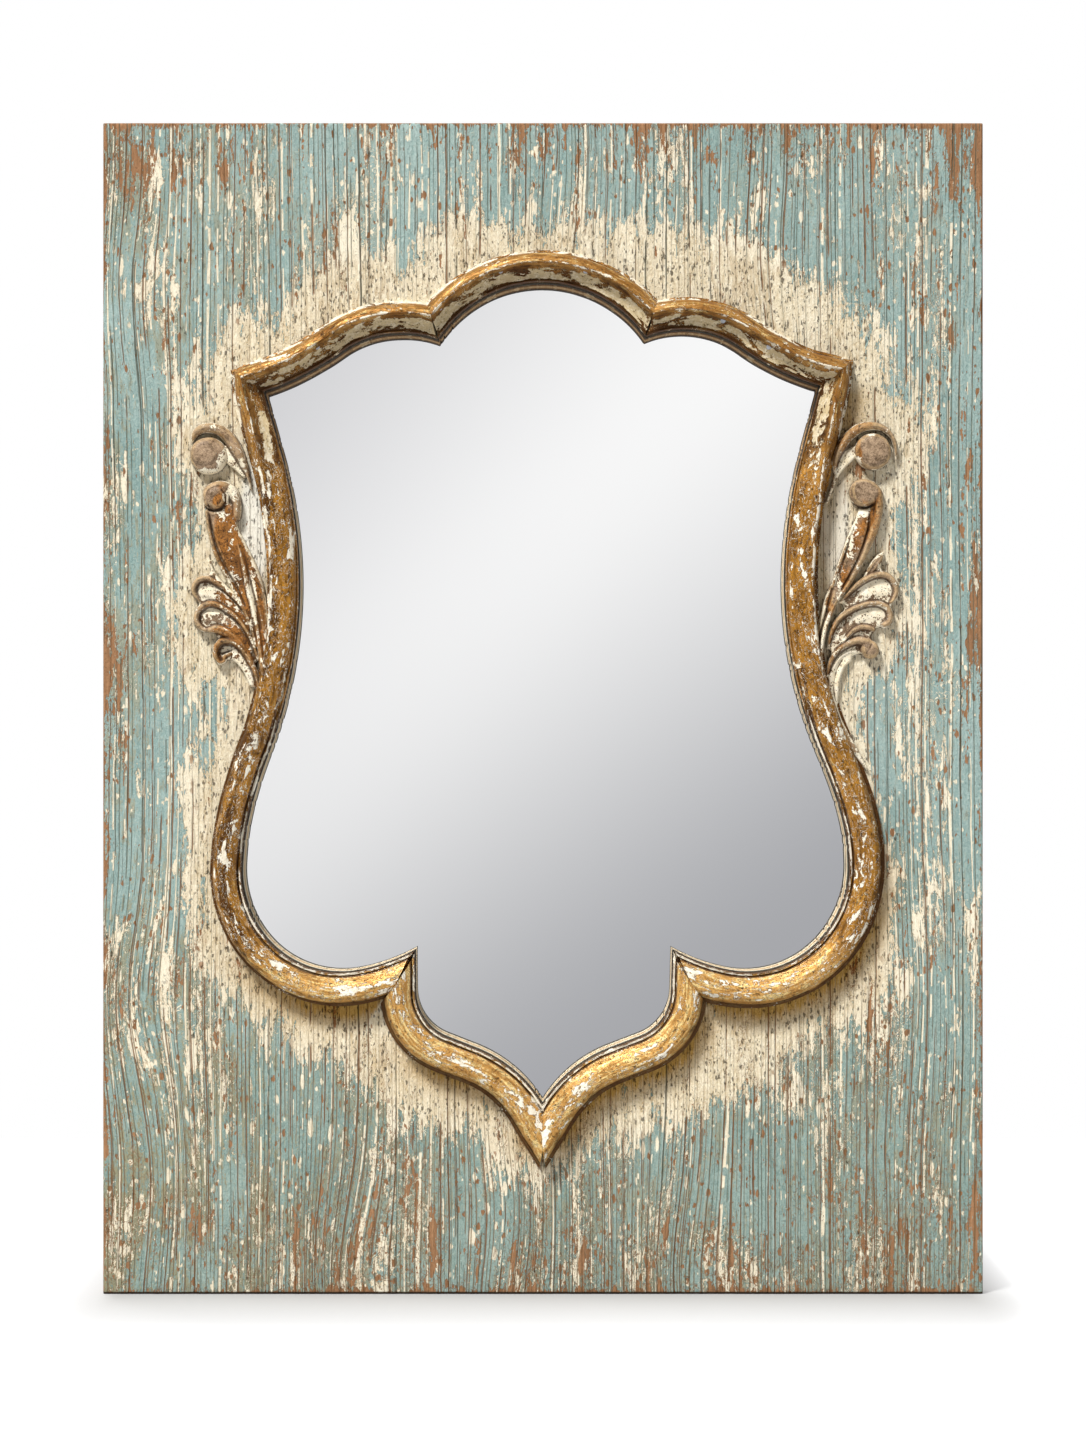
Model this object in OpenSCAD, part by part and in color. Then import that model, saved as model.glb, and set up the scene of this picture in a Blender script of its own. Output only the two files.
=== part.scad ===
/* [Board panel] */
// Width of the panel
panel_w = 610; // [580:1:660]
// Height of the panel
panel_h = 812; // [760:1:900]
// Width of each of the four inner boards; the outer two take up the rest
board_w = 101.5; // [98:0.5:103.5]
// Thickness of each board
board_t = 20; // [17:0.5:26]
// Bevel along the front edges of each board
board_bevel = 0.8; // [0.3:0.1:2]
// Thickness of the tongues between the boards
tongue_t = 6; // [4:0.5:8]
// Depth of the tongues between the boards
tongue_d = 6; // [4:0.5:9]

/* [Shield opening, top] */
// Height of the arch's centre over the middle of the panel
arch_z = 206.5; // [197:0.5:217]
// Radius of the arch
arch_r = 85.5; // [80:0.5:90]
// Sweep of the arch from the centre line to its cusp
arch_turn = 57; // [53:0.5:61]
// Heading of the shoulder where it leaves the cusp
shoulder_heading = 21.5; // [19:0.5:24]
// Radius of the shoulder's crown
crown_r = 69; // [64:0.5:74]
// Sweep of the shoulder's crown
crown_turn = 58; // [55:0.5:61]
// Radius of the hollow between crown and corner
hollow_r = 190; // [175:1:205]
// Sweep of the hollow between crown and corner
hollow_turn = 18.5; // [16:0.5:21]

/* [Shield opening, side] */
// Heading of the side where it leaves the upper corner
side_heading = -106; // [-108:0.5:-104]
// Length of the straight stretch under the upper corner
side_straight = 44; // [36:1:52]
// Radius of the waist
waist_r = 315; // [295:1:335]
// Sweep of the waist down to the joint in the moulding
waist_upper_turn = 27; // [25:0.5:29]
// Sweep of the waist from the joint down
waist_lower_turn = 11; // [9:0.5:13]
// Radius of the flank under the waist
flank_r = 227; // [205:1:250]
// Sweep of the flank under the waist
flank_turn = 20.5; // [18:0.5:23]
// Radius of the bowl
bowl_r = 69; // [64:0.5:74]
// Sweep of the bowl
bowl_turn = 103; // [99:0.5:107]
// Radius of the bowl's floor
floor_r = 138; // [125:1:150]
// Sweep of the bowl's floor
floor_turn = 17; // [14:0.5:20]

/* [Shield opening, point] */
// Heading of the point where it leaves the lower cusp
point_heading = -91; // [-94:0.5:-88]
// Length of the straight cheek under the lower cusp
cheek_l = 29; // [24:0.5:34]
// Radius of the jaw between cheek and chin
jaw_r = 34.5; // [30:0.5:39]
// Sweep of the jaw between cheek and chin
jaw_turn = 67; // [63:0.5:71]
// Length of the straight chin
chin_l = 21; // [16:0.5:26]
// Sweep of the hollow that runs into the tip
tip_turn = 37; // [34:0.5:40]
// Extra sweep of the outer edge before the halves meet at the tip
tip_overrun = 5.5; // [4:0.5:8]

/* [Moulding] */
// Ledge of board left in front of the glass, inside the moulding
moulding_setback = 1; // [0.5:0.1:2.5]
// Width of the moulding
moulding_w = 21.5; // [19:0.5:25]
// Height of the moulding at its crest
moulding_h = 16; // [14:0.5:20]
// Width of the lip along the inner edge
lip_w = 3.5; // [2.5:0.5:5]
// Height of the lip along the inner edge
lip_h = 7; // [5:0.5:9]
// Width of the groove between lip and cove
groove_w = 1.2; // [0.8:0.1:2]
// Depth of the groove between lip and cove
groove_depth = 1.5; // [0.5:0.1:3]
// Distance of the crest from the inner edge
crest_u = 13.5; // [12:0.5:15]
// Width of the flat fillet round the foot of the upper mouldings
fillet_w = 2; // [1:0.5:3]
// Height of the foot under the rounded outer face
foot_h = 3; // [2:0.5:5]
// Depth of the fixing screws in the moulding
moulding_bite = 10; // [8:0.5:11]

/* [Carved ornaments] */
// Radius of the turned button
button_r = 12.8; // [11:0.2:14]
// Height of the turned button
button_h = 11; // [9:0.5:14]
// Radius of the curl at the top of the leaf
curl_r = 10.2; // [9:0.2:12]
// Height of the curl at the top of the leaf
curl_h = 11; // [9:0.5:14]
// Height of the scroll at its highest
scroll_h = 9; // [7:0.5:12]
// Height of the leaf at its highest
leaf_h = 8; // [6:0.5:11]
// Height of the fan's ridges at their highest
ridge_h = 8; // [6:0.5:10]
// Thickness of the web between the fan's ridges
web_t = 3; // [2:0.5:4]
// Gap left between an ornament and the piece beside it
carving_gap = 0.3; // [0.2:0.05:0.6]

/* [Glass and cavity] */
// Thickness of the glass
glass_t = 4; // [3:0.5:5]
// Thickness of the silvering on the back of the glass
silver_t = 0.3; // [0.2:0.05:0.5]
// Lap of the glass behind the opening
glass_lap = 13; // [11:0.5:18]
// Thickness of the mounting tape
tape_t = 1; // [0.5:0.1:2]
// Width of the mounting tape
tape_w = 9; // [6:0.5:10]
// Space between the glass and the battens
cavity_clear = 2; // [1:0.5:4]

/* [Battens and backing] */
// Thickness of the battens
batten_t = 10; // [9:0.5:14]
// Width of the battens
batten_w = 50; // [44:1:56]
// Distance of the rails' ends from the panel's edges
rail_inset = 20; // [10:1:30]
// Thickness of the backing board
backing_t = 6; // [5.5:0.5:9]
// Lap of the backing board on the battens
backing_lap = 22; // [18:1:26]

/* [Screws] */
// Radius of the batten screws
batten_screw_r = 2; // [1.75:0.05:2.5]
// Length of the batten screws
batten_screw_l = 24; // [20:1:26]
// Radius of the moulding and backing screws
small_screw_r = 1.75; // [1.5:0.05:2]
// Length of the backing screws
backing_screw_l = 13; // [11:0.5:14]
// Radial clearance of every screw hole
hole_clear = 0.1; // [0.05:0.01:0.2]
// Distance of the backing screws from the backing board's edge
backing_screw_inset = 10; // [8:0.5:12]
// Distance of the rail screws from the rails' outer edge
rail_screw_inset = 14; // [10:0.5:16]

/* [Hangers] */
// Distance of the ring hinges from the centre line
hanger_x = 207; // [200:0.5:214]
// Radius of the ring's wire
wire_r = 1.3; // [1.1:0.05:1.4]
// Radius of the ring's round end
ring_r = 9.5; // [8:0.5:11]
// Bend radius at the ring's straight leg
ring_bend_r = 3; // [2.5:0.25:4]
// Length of the ring's side arms
ring_arm = 2; // [1:0.5:4]
// Radial clearance of the ring in its loop
loop_clear = 0.1; // [0.05:0.01:0.1]
// Thickness of the hanger's strap
strap_t = 1.1; // [0.9:0.05:1.2]
// Width of the hanger's strap
strap_w = 11; // [9:0.5:13]
// Length of the hanger's strap from the hinge
strap_l = 33; // [30:0.5:38]
// Distance from the hinge to the first strap screw
strap_hole_1 = 8; // [7.5:0.25:8.5]
// Distance from the hinge to the second strap screw
strap_hole_2 = 26; // [24:0.5:28]
// Radius of the strap screws
strap_screw_r = 1.5; // [1.25:0.05:1.75]
// Radius of the strap screws' heads
strap_head_r = 3; // [2.5:0.1:3.2]
// Height of the strap screws' heads
strap_head_h = 1.5; // [1:0.1:1.8]
// Depth of the strap screws in the rail
strap_bite = 8; // [6:0.5:8.5]

/* [Hidden] */
$fn = 64;

paint = "cadetblue";
gilt = "darkgoldenrod";
carving = "rosybrown";
raw_wood = "burlywood";
steel = "silver";
brass = "goldenrod";

// Distances from the wall to the back of each layer
batten_d = backing_t;
board_d = batten_d + batten_t;
face_d = board_d + board_t;

board_count = 6;
tongue_clear = 0.2;
tape_clear = 0.5;

// A stretch of the outline is [radius, sweep], or [length, 0] where it is straight.
// A left turn is positive. A place on the outline is [x, z, heading].
arch = [[arch_r, -arch_turn]];
shoulder = [[crown_r, -crown_turn], [hollow_r, hollow_turn]];
side = [[side_straight, 0], [waist_r, waist_upper_turn]];
bowl = [
    [waist_r, waist_lower_turn], [flank_r, -flank_turn],
    [bowl_r, -bowl_turn], [floor_r, -floor_turn]
];
jaw = [[cheek_l, 0], [jaw_r, -jaw_turn], [chin_l, 0]];

function after(s, g) =
    g[1] == 0
    ? [s[0] + g[0] * cos(s[2]), s[1] + g[0] * sin(s[2]), s[2]]
    : let (k = sign(g[1]) * g[0], h = s[2] + g[1])
      [s[0] + k * (sin(h) - sin(s[2])), s[1] - k * (cos(h) - cos(s[2])), h];
function part_of(g, share) = g[1] == 0 ? [g[0] * share, 0] : [g[0], g[1] * share];
function places(s, path, i = 0) =
    i == len(path) ? [s] : concat([s], places(after(s, path[i]), path, i + 1));
function last(v) = v[len(v) - 1];
function outward(s, u) = [s[0] - u * sin(s[2]), s[1] + u * cos(s[2])];
function facing(s, heading) = [s[0], s[1], heading];

arch_start = [0, arch_z + arch_r, 0];
arch_end = last(places(arch_start, arch));
shoulder_start = facing(arch_end, shoulder_heading);
shoulder_end = last(places(shoulder_start, shoulder));
side_start = facing(shoulder_end, side_heading);
side_end = last(places(side_start, side));
bowl_start = places(side_end, bowl)[2];
bowl_end = last(places(side_end, bowl));
point_start = facing(bowl_end, point_heading);
jaw_end = last(places(point_start, jaw));
tip_r = jaw_end[0] / (sin(jaw_end[2]) - sin(jaw_end[2] + tip_turn));
point = concat(jaw, [[tip_r, tip_turn]]);
tip = last(places(point_start, point));

// Height at which the bowls are widest and part the second and fifth boards
bowl_z = after(bowl_start, [bowl_r, -90 - bowl_start[2]])[1];

outline_step = 4;
function traced(s, path) = [
    for (i = [0:len(path) - 1])
        let (from = places(s, path)[i], g = path[i])
        let (n = max(1, ceil(abs(g[1]) / outline_step)))
        for (j = [0:n - 1]) j == 0 ? from : after(from, part_of(g, j / n))
];
half_outline = [
    for (s = concat(
        traced(arch_start, arch), traced(shoulder_start, shoulder),
        traced(side_start, side), traced(side_end, bowl),
        traced(point_start, point), [tip]))
        [s[0], s[1]]
];
outline_n = len(half_outline);
opening_outline = concat(
    half_outline,
    [for (i = [outline_n - 2:-1:1]) [-half_outline[i][0], half_outline[i][1]]]
);
opening_half_w = max([for (p = half_outline) p[0]]);
opening_top = arch_start[1];
opening_bottom = tip[1];

glass_half_w = opening_half_w + glass_lap;
glass_top = opening_top + glass_lap;
glass_bottom = opening_bottom - glass_lap;
foam_t = batten_t - tape_t - glass_t - silver_t;
glass_d = board_d - tape_t - glass_t;
silver_d = glass_d - silver_t;

cavity_half_w = glass_half_w + cavity_clear;
cavity_top = glass_top + cavity_clear;
cavity_bottom = glass_bottom - cavity_clear;
rail_half_l = panel_w / 2 - rail_inset;
rail_top_edge = cavity_top + batten_w;
rail_bottom_edge = cavity_bottom - batten_w;
rail_rows = [rail_top_edge - rail_screw_inset, rail_bottom_edge + rail_screw_inset];
stile_screw_x = cavity_half_w + batten_w * 3 / 4;
stile_screw_count = 3;

backing_half_w = cavity_half_w + backing_lap;
backing_top = cavity_top + backing_lap;
backing_bottom = cavity_bottom - backing_lap;
backing_rows = 4;
backing_columns = 3;

head_extra = 2;
slot_w = 0.9;
slot_depth = 0.8;
slot_l = 12;
fixing_u = moulding_setback + crest_u;
moulding_screw_l = board_t + moulding_bite;
drill_margin = 8;

// Fixing places along the mouldings: the stretch, and how far along it
function fixed_at(s, path, i, share) =
    outward(after(places(s, path)[i], part_of(path[i], share)), fixing_u);
arch_fixings = [for (share = [0.3, 0.8]) fixed_at(arch_start, arch, 0, share)];
shoulder_fixings = [
    fixed_at(shoulder_start, shoulder, 0, 0.7), fixed_at(shoulder_start, shoulder, 1, 0.2)
];
side_fixings = [
    fixed_at(side_start, side, 0, 0.9), fixed_at(side_start, side, 1, 0.3),
    fixed_at(side_start, side, 1, 0.85)
];
bowl_fixings = [
    fixed_at(side_end, bowl, 1, 0.3), fixed_at(side_end, bowl, 2, 0.5),
    fixed_at(side_end, bowl, 2, 0.95)
];
point_fixings = [
    fixed_at(point_start, point, 1, 0.6), fixed_at(point_start, point, 2, 0.3),
    fixed_at(point_start, point, 3, 0.8)
];
right_fixings = concat(
    arch_fixings, shoulder_fixings, side_fixings, bowl_fixings, point_fixings);
moulding_fixings = concat(right_fixings, [for (p = right_fixings) [-p[0], p[1]]]);

batten_fixings = concat(
    [for (z = rail_rows) for (i = [1:board_count]) [board_centre(i), z]],
    [for (m = [-1, 1]) for (i = [1:stile_screw_count])
        [m * stile_screw_x, cavity_bottom + (cavity_top - cavity_bottom)
            * (i - 0.5) / stile_screw_count]]
);
backing_fixings = concat(
    [for (m = [-1, 1]) for (i = [1:backing_rows])
        [m * (backing_half_w - backing_screw_inset),
            backing_bottom + (backing_top - backing_bottom) * (i - 0.5) / backing_rows]],
    [for (z = [backing_top - backing_screw_inset, backing_bottom + backing_screw_inset])
        for (i = [1:backing_columns])
            [backing_half_w * (2 * i - backing_columns - 1) / backing_columns, z]]
);

hanger_z = rail_top_edge - rail_screw_inset;
loop_r = wire_r + loop_clear + strap_t;
hinge_d = batten_d - loop_r;
ring_leg = 2 * (ring_r - ring_bend_r);
loop_l = ring_leg - 1;
strap_holes = [strap_hole_1, strap_hole_2];
strap_screw_at = [for (m = [-1, 1]) for (h = strap_holes) [m * (hanger_x + h), hanger_z]];

// Drawn as on a board: x to the right, y up, z from the wall towards the viewer
module on_wall() { rotate([90, 0, 0]) children(); }

module slab(x0, x1, y0, y1, z0, t) {
    translate([x0, y0, z0]) cube([x1 - x0, y1 - y0, t]);
}

module holes(at, r, d, l) {
    for (p = at) translate([p[0], p[1], d]) cylinder(h = l, r = r);
}

// A countersunk hole or screw whose head lies flush at depth d
module countersunk(at, r, head_r, d, l) {
    for (p = at) translate([p[0], p[1], d]) {
        cylinder(h = l, r = r);
        cylinder(h = head_r - r, r1 = head_r, r2 = r);
    }
}

module slots(at, d) {
    for (p = at) translate([p[0], p[1], d]) cube([slot_l, slot_w, 2 * slot_depth], center = true);
}

module screws(at, r, d, l) {
    difference() {
        countersunk(at, r, r + head_extra, d, l);
        slots(at, d);
    }
}

module screw_holes(at, r, d, l) {
    countersunk(at, r + hole_clear, r + head_extra + hole_clear, d, l + hole_clear);
}

module opening() {
    translate([0, 0, board_d - 1]) linear_extrude(board_t + 2) polygon(opening_outline);
}

// Seam i lies to the right of board i; the first and last are the panel's edges
function seam(i) =
    i == 0 ? -panel_w / 2 : i == board_count ? panel_w / 2 : (i - board_count / 2) * board_w;
function board_centre(i) = (seam(i - 1) + seam(i)) / 2;
function near_board(at, i) = let (margin = tongue_d + drill_margin)
    [for (p = at) if (p[0] > seam(i - 1) - margin && p[0] < seam(i) + margin) p];

// Board i, counted from the left: a tongue on its right edge fits the next board
module board(i, z0, z1) {
    x0 = seam(i - 1);
    x1 = seam(i);
    mid_d = board_d + board_t / 2;
    b = board_bevel;
    right_edge = i < board_count
        ? [[x1, mid_d - tongue_t / 2], [x1 + tongue_d, mid_d - tongue_t / 2],
            [x1 + tongue_d, mid_d + tongue_t / 2], [x1, mid_d + tongue_t / 2]]
        : [];
    groove_t = tongue_t / 2 + tongue_clear;
    groove_d = tongue_d + 2 * tongue_clear;
    left_edge = i > 1
        ? [[x0, mid_d + groove_t], [x0 + groove_d, mid_d + groove_t],
            [x0 + groove_d, mid_d - groove_t], [x0, mid_d - groove_t]]
        : [];
    section = concat(
        [[x0, board_d], [x1, board_d]], right_edge,
        [[x1, face_d - b], [x1 - b, face_d], [x0 + b, face_d], [x0, face_d - b]], left_edge);
    color(paint) on_wall() difference() {
        translate([0, z1, 0]) rotate([90, 0, 0]) linear_extrude(z1 - z0) polygon(section);
        opening();
        screw_holes(near_board(moulding_fixings, i), small_screw_r, board_d, board_t + 1);
        holes(near_board(batten_fixings, i), batten_screw_r + hole_clear,
            board_d - 1, batten_screw_l - batten_t + 1 + hole_clear);
    }
}

module board_1() { board(1, -panel_h / 2, panel_h / 2); }
module board_2_top() { board(2, bowl_z, panel_h / 2); }
module board_2_bottom() { board(2, -panel_h / 2, bowl_z); }
module board_3_top() { board(3, 0, panel_h / 2); }
module board_3_bottom() { board(3, -panel_h / 2, 0); }
module board_4_top() { board(4, 0, panel_h / 2); }
module board_4_bottom() { board(4, -panel_h / 2, 0); }
module board_5_top() { board(5, bowl_z, panel_h / 2); }
module board_5_bottom() { board(5, -panel_h / 2, bowl_z); }
module board_6() { board(6, -panel_h / 2, panel_h / 2); }

module batten(x0, x1, z0, z1) {
    color(raw_wood) on_wall() difference() {
        slab(x0, x1, z0, z1, batten_d, batten_t);
        screw_holes(batten_fixings, batten_screw_r, batten_d, batten_screw_l);
        holes(backing_fixings, small_screw_r + hole_clear, batten_d - 1,
            backing_screw_l - backing_t + 1 + hole_clear);
        holes(strap_screw_at, strap_screw_r + hole_clear, batten_d - 1, strap_bite + 1);
    }
}

module rail_top() { batten(-rail_half_l, rail_half_l, cavity_top, rail_top_edge); }
module rail_bottom() { batten(-rail_half_l, rail_half_l, rail_bottom_edge, cavity_bottom); }
module stile_left() {
    batten(-cavity_half_w - batten_w, -cavity_half_w, cavity_bottom, cavity_top);
}
module stile_right() {
    batten(cavity_half_w, cavity_half_w + batten_w, cavity_bottom, cavity_top);
}
module batten_screws() {
    color(steel) on_wall() screws(batten_fixings, batten_screw_r, batten_d, batten_screw_l);
}

// Strips along the four edges of the glass
module glass_tape() {
    d = board_d - tape_t;
    side_top = glass_top - tape_w;
    side_bottom = glass_bottom + tape_w;
    color("white") on_wall() {
        slab(-glass_half_w, glass_half_w, side_top, glass_top, d, tape_t);
        slab(-glass_half_w, glass_half_w, glass_bottom, side_bottom, d, tape_t);
        for (x = [-glass_half_w, glass_half_w - tape_w])
            slab(x, x + tape_w, side_bottom + tape_clear, side_top - tape_clear, d, tape_t);
    }
}
module pane(d, t) { slab(-glass_half_w, glass_half_w, glass_bottom, glass_top, d, t); }
module mirror_glass() { color("lightcyan") on_wall() pane(glass_d, glass_t); }
module mirror_silvering() { color("gainsboro") on_wall() pane(silver_d, silver_t); }
module foam_pad() { color("dimgray") on_wall() pane(batten_d, foam_t); }

module backing_board() {
    color("peru") on_wall() difference() {
        slab(-backing_half_w, backing_half_w, backing_bottom, backing_top, 0, backing_t);
        screw_holes(backing_fixings, small_screw_r, 0, backing_screw_l);
    }
}
module backing_screws() {
    color(brass) on_wall() screws(backing_fixings, small_screw_r, 0, backing_screw_l);
}

// The right-hand hanger; its ring points to the centre line
module strap() {
    on_wall() translate([hanger_x, hanger_z, 0]) difference() {
        union() {
            slab(0, strap_l - strap_w / 2, -strap_w / 2, strap_w / 2, batten_d - strap_t, strap_t);
            translate([strap_l - strap_w / 2, 0, batten_d - strap_t])
                cylinder(h = strap_t, r = strap_w / 2);
            translate([0, 0, hinge_d]) rotate([90, 0, 0])
                cylinder(h = loop_l, r = loop_r, center = true);
        }
        translate([0, 0, hinge_d]) rotate([90, 0, 0])
            cylinder(h = loop_l + 1, r = wire_r + loop_clear, center = true);
        for (h = strap_holes) translate([h, 0, batten_d - strap_t - 1])
            cylinder(h = strap_t + 2, r = strap_screw_r + hole_clear);
    }
}

module ring_side() {
    translate([0, ring_leg / 2, 0]) {
        translate([-ring_bend_r, 0, 0]) rotate_extrude(angle = 90)
            translate([ring_bend_r, 0]) circle(wire_r);
        translate([-ring_bend_r, ring_bend_r, 0]) rotate([0, -90, 0])
            cylinder(h = ring_arm, r = wire_r);
    }
}

module ring() {
    on_wall() translate([hanger_x, hanger_z, hinge_d]) {
        rotate([90, 0, 0]) cylinder(h = ring_leg, r = wire_r, center = true);
        ring_side();
        mirror([0, 1, 0]) ring_side();
        translate([-ring_bend_r - ring_arm, 0, 0]) rotate([0, 0, 90])
            rotate_extrude(angle = 180) translate([ring_r, 0]) circle(wire_r);
    }
}

module hanger_strap_right() { color(steel) strap(); }
module hanger_strap_left() { color(steel) mirror([1, 0, 0]) strap(); }
module hanger_ring_right() { color(steel) ring(); }
module hanger_ring_left() { color(steel) mirror([1, 0, 0]) ring(); }
module hanger_screws() {
    head_d = batten_d - strap_t - strap_head_h;
    color(steel) on_wall() difference() {
        for (p = strap_screw_at) translate([p[0], p[1], head_d]) {
            cylinder(h = strap_head_h, r = strap_head_r);
            cylinder(h = strap_head_h + strap_t + strap_bite - hole_clear, r = strap_screw_r);
        }
        slots(strap_screw_at, head_d);
    }
}

// Moulding sections: u runs outwards from the inner edge, h from the board
cove_steps = 5;
function cove(a, b) = [
    for (i = [0:cove_steps]) let (t = 90 * i / cove_steps)
        [a[0] + (b[0] - a[0]) * sin(t), b[1] - (b[1] - a[1]) * cos(t)]
];
function ovolo(a, b) = [
    for (i = [1:cove_steps]) let (t = 90 * i / cove_steps)
        [a[0] + (b[0] - a[0]) * sin(t), b[1] + (a[1] - b[1]) * cos(t)]
];
inner_edge = [[0, 0], [0, lip_h], [lip_w, lip_h], [lip_w + groove_w / 2, lip_h - groove_depth]];
crest = [crest_u, moulding_h];
crest_flat = 1;
upper_section = concat(
    inner_edge,
    cove([lip_w + groove_w, lip_h], crest),
    ovolo([crest_u + crest_flat, moulding_h], [moulding_w - fillet_w, foot_h]),
    [[moulding_w, foot_h], [moulding_w, 0]]);
lower_section = concat(
    inner_edge,
    [for (i = [0:cove_steps]) let (t = 90 * i / cove_steps)
        [crest_u - (crest_u - lip_w - groove_w) * cos(t), lip_h + (moulding_h - lip_h) * sin(t)]],
    ovolo(crest, [moulding_w, foot_h]),
    [[moulding_w, 0]]);

// Closed sides and ends of a solid whose n + 1 rings have m points each
function skin(n, m) = concat(
    [for (i = [0:n - 1]) for (j = [0:m - 1]) let (a = i * m + j, b = i * m + (j + 1) % m)
        each [[a, b, a + m], [b, b + m, a + m]]],
    [[for (j = [m - 1:-1:0]) j], [for (j = [0:m - 1]) n * m + j]]);

// Carries a section along the places of a path
module moulded(at, section) {
    points = [
        for (s = at) for (p = section) let (q = outward(s, moulding_setback + p[0]))
            [q[0], q[1], p[1]]
    ];
    translate([0, 0, face_d])
        polyhedron(points, skin(len(at) - 1, len(section)), convexity = 10);
}

// Straight run past a corner, long enough for its mitre
run_on = 45;
function before(s) = [s[0] - run_on * cos(s[2]), s[1] - run_on * sin(s[2]), s[2]];

// Takes away what lies past the mitre line: ahead is 1 past the end, -1 before the start
module past_mitre(s, angle, ahead) {
    reach = 90;
    translate([s[0], s[1], face_d - 1]) rotate([0, 0, angle])
        translate([-reach / 3, ahead > 0 ? -reach : 0, 0])
            cube([reach * 4 / 3, reach, moulding_h + 2]);
}
function mitre(s, t) = (s[2] + t[2]) / 2 + 90;
top_mitre = mitre(arch_end, shoulder_start);
corner_mitre = mitre(shoulder_end, side_start);
cusp_mitre = mitre(bowl_end, point_start);

module fixing_holes(at) {
    holes(at, small_screw_r + hole_clear, face_d - 1, moulding_bite + 1 + hole_clear);
}

module moulding_arch() {
    far_end = facing([-arch_end[0], arch_end[1]], -arch_end[2]);
    color(gilt) on_wall() difference() {
        moulded(concat(traced(far_end, [[arch_r, -2 * arch_turn]]), [arch_end]), upper_section);
        past_mitre(arch_end, top_mitre, 1);
        mirror([1, 0, 0]) past_mitre(arch_end, top_mitre, 1);
        fixing_holes(arch_fixings);
        mirror([1, 0, 0]) fixing_holes(arch_fixings);
    }
}

module shoulder_piece() {
    on_wall() difference() {
        moulded(concat(traced(shoulder_start, shoulder),
            [shoulder_end, after(shoulder_end, [run_on, 0])]), upper_section);
        past_mitre(shoulder_start, top_mitre, -1);
        past_mitre(shoulder_end, corner_mitre, 1);
        fixing_holes(shoulder_fixings);
    }
}

module side_piece() {
    on_wall() difference() {
        moulded(concat([before(side_start)], traced(side_start, side), [side_end]),
            upper_section);
        past_mitre(side_start, corner_mitre, -1);
        fixing_holes(side_fixings);
    }
}

module bowl_piece() {
    on_wall() difference() {
        moulded(concat(traced(side_end, bowl), [bowl_end]), lower_section);
        past_mitre(bowl_end, cusp_mitre, 1);
        fixing_holes(bowl_fixings);
    }
}

module point_piece() {
    overrun = [[tip_r, tip_overrun], [run_on, 0]];
    on_wall() difference() {
        moulded(concat(traced(point_start, point), traced(tip, overrun),
            [last(places(tip, overrun))]), lower_section);
        past_mitre(point_start, cusp_mitre, -1);
        past_mitre(tip, -90, 1);
        fixing_holes(point_fixings);
    }
}

module moulding_shoulder_right() { color(gilt) shoulder_piece(); }
module moulding_shoulder_left() { color(gilt) mirror([1, 0, 0]) shoulder_piece(); }
module moulding_side_right() { color(gilt) side_piece(); }
module moulding_side_left() { color(gilt) mirror([1, 0, 0]) side_piece(); }
module moulding_bowl_right() { color(gilt) bowl_piece(); }
module moulding_bowl_left() { color(gilt) mirror([1, 0, 0]) bowl_piece(); }
module moulding_point_right() { color(gilt) point_piece(); }
module moulding_point_left() { color(gilt) mirror([1, 0, 0]) point_piece(); }
module moulding_screws() {
    color(steel) on_wall() screws(moulding_fixings, small_screw_r, board_d, moulding_screw_l);
}

// Carved ornaments: each place is [x, y, half width, share of the height], counted from
// the waist's outer edge, and a smooth curve is passed through the places
waist_centre = let (s = places(side_start, side)[1])
    [s[0] - waist_r * sin(s[2]), s[1] + waist_r * cos(s[2])];
waist_edge_r = waist_r - moulding_setback - moulding_w;
carving_at = [waist_centre[0] - waist_edge_r, waist_centre[1]];

button_at = [38.5, 93];
curl_at = [33.5, 64.5];
scroll_line = [
    [53, 84, 1, 0.3], [54.5, 93, 2.2, 0.7], [52, 102.5, 3, 0.9], [45.5, 109.5, 3.6, 1],
    [36.5, 112, 4, 1], [27.5, 109.5, 4.2, 1], [20.5, 103, 4.2, 1], [15, 94.5, 4, 1],
    [12.5, 86, 3.6, 0.9], [13, 77, 3.2, 0.8], [11.5, 67, 2.6, 0.6], [8, 57, 1, 0.3]
];
leaf_line = [
    [39, 59, 4.5, 1], [37.5, 51, 6.5, 1], [34, 40, 9, 1], [29, 28, 9.3, 1],
    [23, 16, 8, 1], [17.5, 5, 5.5, 1], [12.5, -7, 3.6, 1], [8.5, -18, 2.8, 1],
    [5.5, -30, 2.6, 0.9], [3.5, -43, 2.4, 0.8], [2.5, -56, 2.2, 0.7], [2, -66, 1, 0.4]
];
ridge_lines = [
    [[13.5, -17, 1.4, 0.5], [21, -8, 2.4, 0.8], [30, 2, 3, 1], [39.5, 7.5, 3.2, 1],
        [49, 7, 3.2, 1], [54, 1, 3.2, 1], [54.5, -6, 2.8, 0.9], [51, -13, 1, 0.4]],
    [[11.5, -30, 1.4, 0.5], [17.5, -21, 2.4, 0.8], [27, -13.5, 3, 1], [38, -10, 3.2, 1],
        [46.5, -12, 3.2, 1], [51, -18.5, 3, 1], [50.5, -25, 2.4, 0.8], [46, -29, 1, 0.4]],
    [[10, -41, 1.4, 0.5], [17, -31.5, 2.4, 0.8], [27, -26, 2.8, 0.9], [36, -27.5, 2, 0.7],
        [41, -31, 1, 0.4]],
    [[9, -56, 1.2, 0.5], [12, -46.5, 2, 0.8], [19.5, -38, 2.8, 0.9], [29, -35, 3.4, 1],
        [37, -38, 4.4, 1], [39.5, -45, 5, 1], [36.5, -51.5, 3.5, 0.8], [33, -55, 1, 0.4]],
    [[26, 0, 2, 0.4], [34, 8, 4, 0.6], [40, 15, 3.4, 0.6], [45, 22, 0.8, 0.4]]
];
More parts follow.
